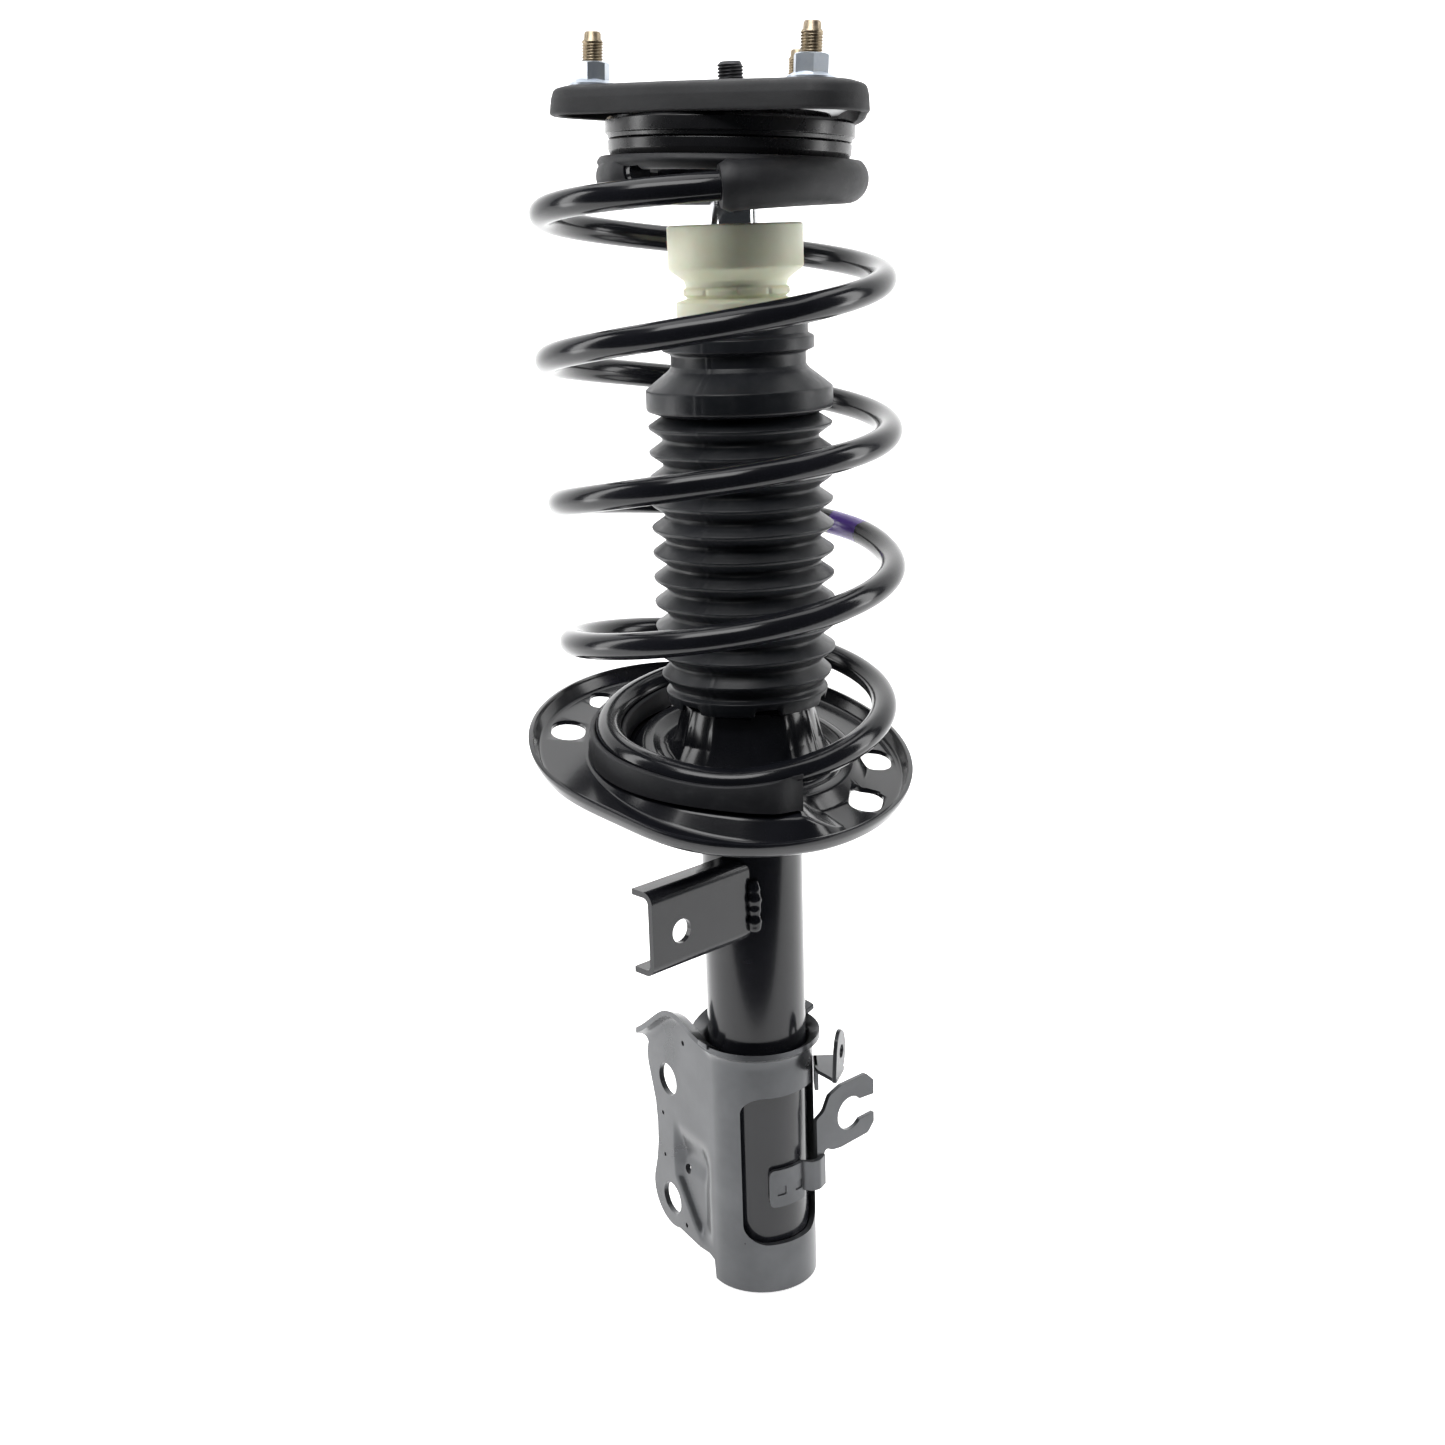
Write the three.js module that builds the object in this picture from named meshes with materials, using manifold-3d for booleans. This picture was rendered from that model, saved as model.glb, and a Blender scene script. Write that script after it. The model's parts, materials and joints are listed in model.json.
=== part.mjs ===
// Front suspension strut: damper, coil spring, top mount with its bearing, and the welded brackets.
// Millimetres, +Z up along the damper axis. The origin is the centre of the damper's flat bottom face.
// The strut is at full rebound, with the rod drawn all the way out.
import * as THREE from 'three';
import { mergeVertices } from 'three/addons/utils/BufferGeometryUtils.js';
import Module from 'manifold-3d';

const wasm = await Module();
wasm.setup();

// ---------------------------------------------------------------- driving dimensions
const GAP = 0.3; // clearance between pieces that touch
const ROUND = 36; // facets round a large turned piece that shows
const INNER_ROUND = 24; // facets round a turned piece inside the damper or the mount

const TUBE_R = 25.5;
const TUBE_WALL = 2.4;
const TUBE_TOP = 352;
const TUBE_CAP_TOP = 356;
const ROD_R = 11;
const ROD_TIP_Z = 615;
const THREAD_R = 6;
const PRESSURE_TUBE_R = 16.8;
const PRESSURE_BORE_R = 15.3;
const GUIDE_TOP = 342;
const GUIDE_SPIGOT_Z = 316;

const BUMP_TOP_Z = 544;
const BUMP_R = 31.7;
const BUMP_BOTTOM_Z = 468;
const BOOT_BOTTOM_Z = 320.5;
const BOOT_CREST_R = 44;
const BOOT_VALLEY_R = 36;
const BOOT_PITCH = 11.9;
const BOOT_FOLDS = 11;

const WIRE_R = 6.25;
// [angle in degrees, height, mean radius, offset of the coil's centre along X] along the wire
const COIL_STATIONS = [
  [100, 321, 63, -2],
  [140, 313.5, 66, -2],
  [180, 306.5, 67.5, -2],
  [225, 299.5, 68.3, -2],
  [270, 295, 68.5, -2],
  [360, 313.8, 69.5, -2],
  [450, 334, 75, -4],
  [540, 349.4, 79, -6],
  [720, 383.9, 79, -7],
  [757, 393, 79, -7.2],
  [900, 417.1, 79.3, -7.7],
  [985, 434.8, 79.4, -8.1],
  [1080, 449.1, 79.5, -8.6],
  [1260, 484, 79.5, -10],
  [1440, 518.8, 79.5, -11],
  [1620, 550.9, 77.5, -11.5],
  [1710, 559.5, 63, -8],
  [1800, 562.5, 53, -1],
  [1920, 565, 53, 0],
  [2020, 567.5, 54.5, 0],
];

// the seat's plane: height above the axis and slopes along X and Y
const SEAT_Z = 293.5;
const SEAT_SLOPE_X = -0.115;
const SEAT_SLOPE_Y = 0.215;
const SEAT_CENTRE = [-14, -2];
const SEAT_RIM_R = 93;
const SEAT_LIP = 7;
const SEAT_SHEET = 3;
const STEP_HEIGHT = 10; // how far the seat's floor is raised under the first coil
const STEP_FROM = 182; // degrees: where the raised stretch starts to climb
const STEP_TO = 306; // degrees: where it has dropped back to the floor

const MOUNT_Z = 603; // the top face of the mount on the damper axis
const MOUNT_TILT = 2.8; // degrees about Y: the +X side is lower
const STUDS = [
  ['1', -63, 0],
  ['2', 33, -60],
  ['3', 33, 60],
];
const STUD_R = 4.9;
const MOUNT_CORNER_R = 22;
const MOUNT_SKIRT = 13;
const MOUNT_WALL = 4;
const BEARING_R = 57;
const BEARING_SPLIT = -22.8; // below the mount's top face
const BALL_RING_R = 44;
const BALL_R = 2.9;
const BALLS = 12;

const KNUCKLE_SHEET = 3;
const KNUCKLE_R = TUBE_R + GAP + KNUCKLE_SHEET;
const KNUCKLE_TURN = 122; // direction in which the ears point, degrees from +X
const KNUCKLE_BOTTOM = 1.5;
const EAR_HOLES = [[45.5, 29], [45.5, 100.3]]; // along the ear, height
const EAR_HOLE_R = 9;

const LINK_TURN = 223.8; // direction of the stabiliser-link bracket from the tube
const LINK_REACH = 84;
const LINK_WEB = 17; // distance from the axis to the web's front face
const LINK_SHEET = 3;
const LINK_LOW = 198.5;
const LINK_HIGH = 241;
const LINK_FLANGE = 13;
const LINK_HOLE = [65.4, 217.5, 6]; // along the bracket, height, radius

const HOSE_SHEET = 2.5;
const HOOK_TURN = 40; // direction in which the hook plate runs, degrees from +X
const HOOK_FACE = 29; // distance from the axis to the plate's front face
const HOOK_BORE = [39, 87.5, 9.2]; // along the plate, height, radius
const HOOK_TIP = 56.5;
const HOOK_SLOT = 11.8; // width of the hook's mouth

const TAB_TURN = 70; // direction in which the sensor line's tab runs, degrees from +X
const TAB_FACE = 45.8; // distance from the axis to the tab's outer face
const TAB_HOLE = [0, 132.2, 3.4]; // along the tab, height, radius

// ---------------------------------------------------------------- finishes
const FINISHES = {
  black_paint: { color: 0x101114, roughness: 0.22, metalness: 0.3 },
  grey_black_paint: { color: 0x303236, roughness: 0.3, metalness: 0.4 },
  black_plastic: { color: 0x14161a, roughness: 0.35, metalness: 0 },
  rubber: { color: 0x202124, roughness: 0.8, metalness: 0 },
  boot_rubber: { color: 0x15161a, roughness: 0.5, metalness: 0 },
  cream_foam: { color: 0xe4e6cc, roughness: 0.6, metalness: 0 },
  chrome: { color: 0xc8ccd0, roughness: 0.08, metalness: 1 },
  bare_steel: { color: 0x8d9094, roughness: 0.4, metalness: 1 },
  yellow_zinc: { color: 0xa08a58, roughness: 0.4, metalness: 1 },
  white_zinc: { color: 0xaab4c2, roughness: 0.35, metalness: 1 },
};

const strut = new THREE.Group();
const mountFrame = new THREE.Group();
mountFrame.position.z = MOUNT_Z;
mountFrame.rotation.y = THREE.MathUtils.degToRad(MOUNT_TILT);
mountFrame.updateMatrix();
strut.add(mountFrame);

function add(name, geometry, finish, parent = strut) {
  const mesh = new THREE.Mesh(geometry, new THREE.MeshStandardMaterial(FINISHES[finish]));
  mesh.name = name;
  parent.add(mesh);
}

// ---------------------------------------------------------------- shape helpers
function toSolid(geometry) {
  const plain = geometry.clone();
  plain.deleteAttribute('normal');
  plain.deleteAttribute('uv');
  const merged = mergeVertices(plain, 1e-4);
  const mesh = new wasm.Mesh({
    numProp: 3,
    vertProperties: new Float32Array(merged.attributes.position.array),
    triVerts: new Uint32Array(merged.index.array),
  });
  return new wasm.Manifold(mesh);
}

function toGeometry(solid) {
  const mesh = solid.getMesh();
  const geometry = new THREE.BufferGeometry();
  geometry.setAttribute('position', new THREE.BufferAttribute(mesh.vertProperties, 3));
  geometry.setIndex(new THREE.BufferAttribute(mesh.triVerts, 1));
  geometry.computeVertexNormals();
  return geometry;
}

function join(...geometries) {
  return toGeometry(geometries.map(toSolid).reduce((whole, piece) => whole.add(piece)));
}

function cut(geometry, ...tools) {
  return toGeometry(tools.map(toSolid).reduce((whole, tool) => whole.subtract(tool), toSolid(geometry)));
}

// A turned piece. The profile holds [radius, height] pairs, up the outside and down the inside.
function turned(profile, facets = ROUND) {
  const points = profile.map(([radius, height]) => new THREE.Vector2(radius, height));
  if (profile[0][0] > 0) points.push(points[0].clone());
  return new THREE.LatheGeometry(points, facets).rotateX(Math.PI / 2);
}

function tubeRing(inner, outer, low, high, facets = ROUND) {
  return turned([[inner, low], [outer, low], [outer, high], [inner, high]], facets);
}

// A shape drawn in the XY plane, pushed up from one height to another.
function pushed(shape, low, high, facets = 8) {
  const settings = { depth: high - low, bevelEnabled: false, curveSegments: facets };
  return new THREE.ExtrudeGeometry(shape, settings).translate(0, 0, low);
}

function circleHole(x, y, radius) {
  return new THREE.Path().absarc(x, y, radius, 0, 2 * Math.PI, true);
}

function polygonShape(points) {
  return new THREE.Shape(points.map(([x, y]) => new THREE.Vector2(x, y)));
}

// A rectangle with rounded corners, given by its lowest and highest corner.
function roundedRectangle(x0, y0, x1, y1, radius) {
  const shape = new THREE.Shape();
  shape.absarc(x1 - radius, y0 + radius, radius, -Math.PI / 2, 0);
  shape.absarc(x1 - radius, y1 - radius, radius, 0, Math.PI / 2);
  shape.absarc(x0 + radius, y1 - radius, radius, Math.PI / 2, Math.PI);
  shape.absarc(x0 + radius, y0 + radius, radius, Math.PI, 1.5 * Math.PI);
  return shape;
}

// Stands a flat piece up: drawn x runs along the given direction, drawn y becomes height, and the
// thickness runs towards the direction's right-hand side.
function stoodUp(geometry, turn) {
  return geometry.rotateX(Math.PI / 2).rotateZ(THREE.MathUtils.degToRad(turn));
}

// A sheet of even thickness over a surface that closes on itself round u; place(u, v) gives the
// outer face, and the thickness lies on its inner side.
function closedSheet(place, around, across, thickness) {
  const step = 1e-3;
  const positions = [];
  for (const layer of [0, 1]) {
    for (let j = 0; j <= across; j += 1) {
      for (let i = 0; i < around; i += 1) {
        const u = i / around;
        const v = j / across;
        const point = place(u, v);
        const alongU = place(u + step, v).sub(place(u - step, v));
        const lowV = Math.max(v - step, 0);
        const highV = Math.min(v + step, 1);
        const alongV = place(u, highV).sub(place(u, lowV));
        const normal = alongU.cross(alongV).normalize();
        point.addScaledVector(normal, -thickness * layer);
        positions.push(point.x, point.y, point.z);
      }
    }
  }
  const at = (layer, i, j) => layer * around * (across + 1) + j * around + (i % around);
  const index = [];
  const quad = (a, b, c, d) => index.push(a, b, c, a, c, d);
  for (let i = 0; i < around; i += 1) {
    for (let j = 0; j < across; j += 1) {
      quad(at(0, i, j), at(0, i + 1, j), at(0, i + 1, j + 1), at(0, i, j + 1));
      quad(at(1, i, j), at(1, i, j + 1), at(1, i + 1, j + 1), at(1, i + 1, j));
    }
    quad(at(0, i, 0), at(1, i, 0), at(1, i + 1, 0), at(0, i + 1, 0));
    quad(at(0, i, across), at(0, i + 1, across), at(1, i + 1, across), at(1, i, across));
  }
  const geometry = new THREE.BufferGeometry();
  geometry.setAttribute('position', new THREE.Float32BufferAttribute(positions, 3));
  geometry.setIndex(index);
  geometry.computeVertexNormals();
  return geometry;
}

// Reads one column of a list of stations at a given value of the first column, along smooth curves.
function follow(stations, at, column) {
  const last = stations.length - 1;
  let k = stations.findIndex(([place]) => place > at) - 1;
  if (k < 0) k = at <= stations[0][0] ? 0 : last - 1;
  const slope = (n) => {
    const before = stations[Math.max(n - 1, 0)];
    const after = stations[Math.min(n + 1, last)];
    return (after[column] - before[column]) / (after[0] - before[0]);
  };
  const [from, to] = [stations[k], stations[k + 1]];
  const width = to[0] - from[0];
  const t = (at - from[0]) / width;
  const rise = to[column] - from[column];
  const bend = t * (1 - t) * ((1 - t) * (slope(k) * width - rise) - t * (slope(k + 1) * width - rise));
  return from[column] + rise * t + bend;
}

// ---------------------------------------------------------------- damper
function damper() {
  const bore = TUBE_R - TUBE_WALL;
  const capTop = 6;
  add('strut_tube', tubeRing(bore, TUBE_R, capTop + GAP, TUBE_TOP), 'black_paint');
  add('base_cap', turned([[0, 0], [16, 0], [22, 1.5], [TUBE_R, capTop], [21, capTop], [15, 3], [0, 3]]),
    'black_paint');
  const valveTop = 12;
  add('base_valve', turned([
    [0, 3 + GAP], [13, 3 + GAP], [13, 8], [18.5, 8], [18.5, valveTop],
    [PRESSURE_BORE_R - GAP, valveTop], [PRESSURE_BORE_R - GAP, 24], [0, 24],
  ], INNER_ROUND), 'bare_steel');
  const guideLow = 328;
  add('pressure_tube', tubeRing(PRESSURE_BORE_R, PRESSURE_TUBE_R, valveTop + GAP, guideLow, INNER_ROUND),
    'bare_steel');
  const slidingBore = ROD_R + GAP;
  add('rod_guide', turned([
    [slidingBore, GUIDE_SPIGOT_Z], [PRESSURE_BORE_R - GAP, GUIDE_SPIGOT_Z],
    [PRESSURE_BORE_R - GAP, guideLow + GAP], [bore - GAP, guideLow + GAP],
    [bore - GAP, GUIDE_TOP], [slidingBore, GUIDE_TOP],
  ], INNER_ROUND), 'bare_steel');
  const sealTop = GUIDE_TOP + 7;
  add('oil_seal', tubeRing(slidingBore, bore - GAP, GUIDE_TOP + GAP, sealTop, INNER_ROUND), 'rubber');
  add('tube_cap', turned([
    [ROD_R + 1.5, sealTop + GAP], [bore - GAP, sealTop + GAP], [bore - GAP, TUBE_TOP + GAP],
    [TUBE_R, TUBE_TOP + GAP], [TUBE_R - 1, TUBE_CAP_TOP], [ROD_R + 1.5, TUBE_CAP_TOP],
  ], INNER_ROUND), 'bare_steel');
}

function rodAndPiston() {
  const tailZ = 262;
  const shoulderZ = 292.3;
  const threadZ = 577;
  add('piston_rod', turned([
    [0, tailZ], [THREAD_R, tailZ], [THREAD_R, shoulderZ], [ROD_R, shoulderZ], [ROD_R, threadZ],
    [THREAD_R, threadZ + 1], [THREAD_R, ROD_TIP_Z - 1.2], [THREAD_R - 1.2, ROD_TIP_Z], [0, ROD_TIP_Z],
  ], INNER_ROUND), 'chrome');
  const bore = THREAD_R + GAP;
  const pistonR = PRESSURE_BORE_R - 0.7;
  const pistonLow = 274;
  const pistonHigh = shoulderZ - GAP;
  const bandLow = pistonLow + 5;
  const bandHigh = pistonHigh - 5;
  const grooveR = pistonR - 1.4;
  add('piston', turned([
    [bore, pistonLow], [pistonR, pistonLow], [pistonR, bandLow], [grooveR, bandLow],
    [grooveR, bandHigh], [pistonR, bandHigh], [pistonR, pistonHigh], [bore, pistonHigh],
  ], INNER_ROUND), 'bare_steel');
  const bandR = PRESSURE_BORE_R - GAP;
  add('piston_band', tubeRing(grooveR + GAP, bandR, bandLow + GAP, bandHigh - GAP, INNER_ROUND),
    'black_plastic');
  add('piston_nut', hexNut(17, bore, tailZ + 1.5, pistonLow - GAP), 'bare_steel');
  add('rebound_stop', tubeRing(ROD_R + GAP, 14, GUIDE_SPIGOT_Z - 14, GUIDE_SPIGOT_Z - GAP, INNER_ROUND),
    'rubber');
}

function hexNut(acrossFlats, bore, low, high) {
  const corner = acrossFlats / Math.sqrt(3);
  const corners = [];
  for (let k = 0; k < 6; k += 1) {
    corners.push([corner * Math.cos((k * Math.PI) / 3), corner * Math.sin((k * Math.PI) / 3)]);
  }
  const shape = polygonShape(corners);
  shape.holes.push(circleHole(0, 0, bore));
  return pushed(shape, low, high);
}

// ---------------------------------------------------------------- bump stop and dust boot
function bumpStop() {
  const bore = ROD_R + 0.6;
  add('bump_stop', turned([
    [bore, BUMP_BOTTOM_Z], [20, BUMP_BOTTOM_Z], [25, BUMP_BOTTOM_Z + 8], [22, BUMP_BOTTOM_Z + 14],
    [27, BUMP_BOTTOM_Z + 22], [28.5, BUMP_BOTTOM_Z + 30], [28.5, 509], [23.5, 511], [25, 514],
    [23.3, 516], [24.7, 519], [BUMP_R, 524.5], [BUMP_R, BUMP_TOP_Z - 0.8], [BUMP_R - 0.8, BUMP_TOP_Z],
    [bore, BUMP_TOP_Z],
  ], 32), 'cream_foam');
}

function dustBoot() {
  const tubeSide = TUBE_R + 0.7;
  const neckBore = 29.2;
  const outside = [[36.5, BOOT_BOTTOM_Z], [38.5, BOOT_BOTTOM_Z + 1.5], [38.5, BOOT_BOTTOM_Z + 3.5]];
  const firstCrest = BOOT_BOTTOM_Z + 11;
  for (let k = 0; k < BOOT_FOLDS; k += 1) {
    const crest = firstCrest + k * BOOT_PITCH;
    outside.push([BOOT_VALLEY_R, crest - BOOT_PITCH / 2], [BOOT_CREST_R, crest]);
  }
  const ringLow = firstCrest + (BOOT_FOLDS - 1) * BOOT_PITCH + BOOT_PITCH / 2;
  outside.push(
    [BOOT_VALLEY_R, ringLow], [44.5, 461], [44.5, 469], [32, 479], [32, 485], [36, 487], [36, 493],
    [33, 495], [33, 499],
  );
  const inside = [
    [neckBore, 499], [neckBore, 482], [34, 474], [34, BOOT_BOTTOM_Z + 16], [tubeSide, BOOT_BOTTOM_Z + 9],
    [tubeSide, BOOT_BOTTOM_Z],
  ];
  add('dust_boot', turned([...outside, ...inside], 24), 'boot_rubber');
}

// ---------------------------------------------------------------- coil spring
class CoilCentreline extends THREE.Curve {
  constructor(from, to) {
    super();
    this.from = from;
    this.to = to;
  }

  getPoint(t, target = new THREE.Vector3()) {
    const angle = this.from + (this.to - this.from) * t;
    const turn = THREE.MathUtils.degToRad(angle);
    const radius = follow(COIL_STATIONS, angle, 2);
    const offset = follow(COIL_STATIONS, angle, 3);
    const height = follow(COIL_STATIONS, angle, 1);
    return target.set(offset + radius * Math.cos(turn), radius * Math.sin(turn), height);
  }

  // steps are even in angle, so that bars on the same stretch share their joints
  getUtoTmapping(u) {
    return u;
  }
}

const WIRE_START = COIL_STATIONS[0][0];
const WIRE_END = COIL_STATIONS[COIL_STATIONS.length - 1][0];
const WIRE_JOINTS = 120; // straight stretches that the coil is made of
const WIRE_ROOM_R = WIRE_R + 0.7; // the groove that a rubber piece leaves for the wire

// A ten-sided bar along the coil, from one of its joints to another.
function coilBar(fromJoint, toJoint, radius) {
  const section = new THREE.Shape();
  section.absarc(0, 0, radius, 0, 2 * Math.PI);
  const joint = (n) => WIRE_START + ((WIRE_END - WIRE_START) * n) / WIRE_JOINTS;
  return new THREE.ExtrudeGeometry(section, {
    steps: toJoint - fromJoint,
    curveSegments: 5,
    bevelEnabled: false,
    extrudePath: new CoilCentreline(joint(fromJoint), joint(toJoint)),
  });
}

// ---------------------------------------------------------------- lower spring seat
function seatPlane(x, y) {
  return SEAT_Z + SEAT_SLOPE_X * x + SEAT_SLOPE_Y * y;
}

// Distance from the damper axis to the rim in a given direction: a circle about the seat's own
// centre, flattened at the front left.
function seatRimRadius(turn) {
  const [cx, cy] = SEAT_CENTRE;
  const along = cx * Math.cos(turn) + cy * Math.sin(turn);
  const circle = along + Math.sqrt(SEAT_RIM_R ** 2 - (cx * cx + cy * cy - along * along));
  const away = THREE.MathUtils.radToDeg(turn) - 228;
  return circle - 5 * Math.exp(-((away / 17) ** 2));
}

// The height of the raised stretch in a given direction. It climbs slowly and drops steeply.
function stepHeight(turn) {
  const angle = THREE.MathUtils.euclideanModulo(THREE.MathUtils.radToDeg(turn), 360);
  const climb = THREE.MathUtils.smoothstep(angle, STEP_FROM, STEP_FROM + 84);
  const drop = 1 - THREE.MathUtils.smoothstep(angle, STEP_TO - 20, STEP_TO);
  return STEP_HEIGHT * climb * drop;
}

// The seat's section in a given direction: [radius, height], from the rim to the bell's top. The
// bell's heights are in the damper's frame, and the others are above the tilted plane.
function seatSection(turn) {
  const rim = seatRimRadius(turn);
  const onPlane = (radius, above) => {
    const height = above + seatPlane(radius * Math.cos(turn), radius * Math.sin(turn));
    return [radius, height];
  };
  const floor = -SEAT_LIP;
  const step = floor + stepHeight(turn);
  return [
    onPlane(rim, 0),
    onPlane(rim - 0.5, floor + 3),
    onPlane(rim - 3, floor - 0.5),
    onPlane(Math.min(82, rim - 8), floor - 1),
    onPlane(Math.min(77, rim - 12), step),
    onPlane(59, step),
    onPlane(54, floor + 5),
    onPlane(50, floor + 5),
    onPlane(46, floor + 2),
    onPlane(40, floor + 5),
    [35.5, 303],
    [33.2, 315],
    [30, 318.5],
    [TUBE_R + 1, 318],
  ];
}

function seatPoint(u, v) {
  const turn = 2 * Math.PI * u;
  const section = seatSection(turn);
  const place = v * (section.length - 1);
  const k = Math.min(Math.floor(place), section.length - 2);
  const radius = THREE.MathUtils.lerp(section[k][0], section[k + 1][0], place - k);
  const height = THREE.MathUtils.lerp(section[k][1], section[k + 1][1], place - k);
  return new THREE.Vector3(radius * Math.cos(turn), radius * Math.sin(turn), height);
}

function lowerSeat() {
  const rows = seatSection(0).length - 1;
  const bowl = closedSheet(seatPoint, 36, rows, SEAT_SHEET);
  // [centre x, centre y, half length, half width, turn in degrees]
  const holes = [
    [-91, 14, 8.5, 10.5, 0],
    [-76, 50, 6, 9, 0],
    [63.5, 8, 8, 10.5, 0],
    [55.5, -33.5, 8, 11, -12],
  ];
  const tools = holes.map(([x, y, halfLength, halfWidth, turn]) => {
    const corner = Math.min(halfLength, halfWidth) - 0.5;
    const shape = roundedRectangle(-halfLength, -halfWidth, halfLength, halfWidth, corner);
    return pushed(shape, 200, 330).rotateZ(THREE.MathUtils.degToRad(turn)).translate(x, y, 0);
  });
  add('lower_spring_seat', cut(bowl, ...tools), 'black_paint');
  const collarTop = 268;
  add('seat_collar', turned([
    [TUBE_R + GAP, collarTop - 12], [TUBE_R + 3, collarTop - 12], [TUBE_R + 3, collarTop - 4],
    [TUBE_R + 6, collarTop], [TUBE_R + GAP, collarTop],
  ], INNER_ROUND), 'black_paint');
}

// The rubber under the first coil: its top follows the wire, and its foot rests on the seat's floor.
function lowerInsulator() {
  const [from, to] = [128, 288];
  const steps = 16;
  const [inner, outer] = [61.5, 75];
  const positions = [];
  for (let i = 0; i <= steps; i += 1) {
    const angle = from + ((to - from) * i) / steps;
    const turn = THREE.MathUtils.degToRad(angle);
    const offset = follow(COIL_STATIONS, angle, 3);
    const wireUnder = follow(COIL_STATIONS, angle, 1) - WIRE_R - GAP - 0.4;
    for (const [radius, high] of [[inner, false], [outer, false], [outer, true], [inner, true]]) {
      const x = offset + radius * Math.cos(turn);
      const y = radius * Math.sin(turn);
      const floor = seatPlane(x, y) - SEAT_LIP + stepHeight(turn) + 1.4;
      positions.push(x, y, high ? Math.max(wireUnder, floor + 1.5) : floor);
    }
  }
  const index = [];
  const quad = (a, b, c, d) => index.push(a, c, b, a, d, c);
  for (let i = 0; i < steps; i += 1) {
    for (let k = 0; k < 4; k += 1) {
      const next = (k + 1) % 4;
      quad(i * 4 + k, i * 4 + next, i * 4 + 4 + next, i * 4 + 4 + k);
    }
  }
  quad(0, 3, 2, 1);
  quad(steps * 4, steps * 4 + 1, steps * 4 + 2, steps * 4 + 3);
  const geometry = new THREE.BufferGeometry();
  geometry.setAttribute('position', new THREE.Float32BufferAttribute(positions, 3));
  geometry.setIndex(index);
  add('lower_insulator', cut(geometry, coilBar(0, 13, WIRE_ROOM_R)), 'rubber');
}

// ---------------------------------------------------------------- top mount
// The hull of three round corners, drawn inwards by an inset.
function mountOutline(inset) {
  const corners = STUDS.map(([, x, y]) => [x + 3, y * 1.02]).sort((a, b) => a[1] - b[1]);
  const ordered = [corners[0], corners[2], corners[1]];
  const shape = new THREE.Shape();
  ordered.forEach(([x, y], k) => {
    const before = ordered[(k + 2) % 3];
    const after = ordered[(k + 1) % 3];
    const facing = ([ax, ay], [bx, by]) => Math.atan2(by - ay, bx - ax) - Math.PI / 2;
    const start = facing(before, [x, y]);
    let end = facing([x, y], after);
    while (end < start) end += 2 * Math.PI;
    shape.absarc(x, y, MOUNT_CORNER_R - inset, start, end);
  });
  return shape;
}

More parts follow.
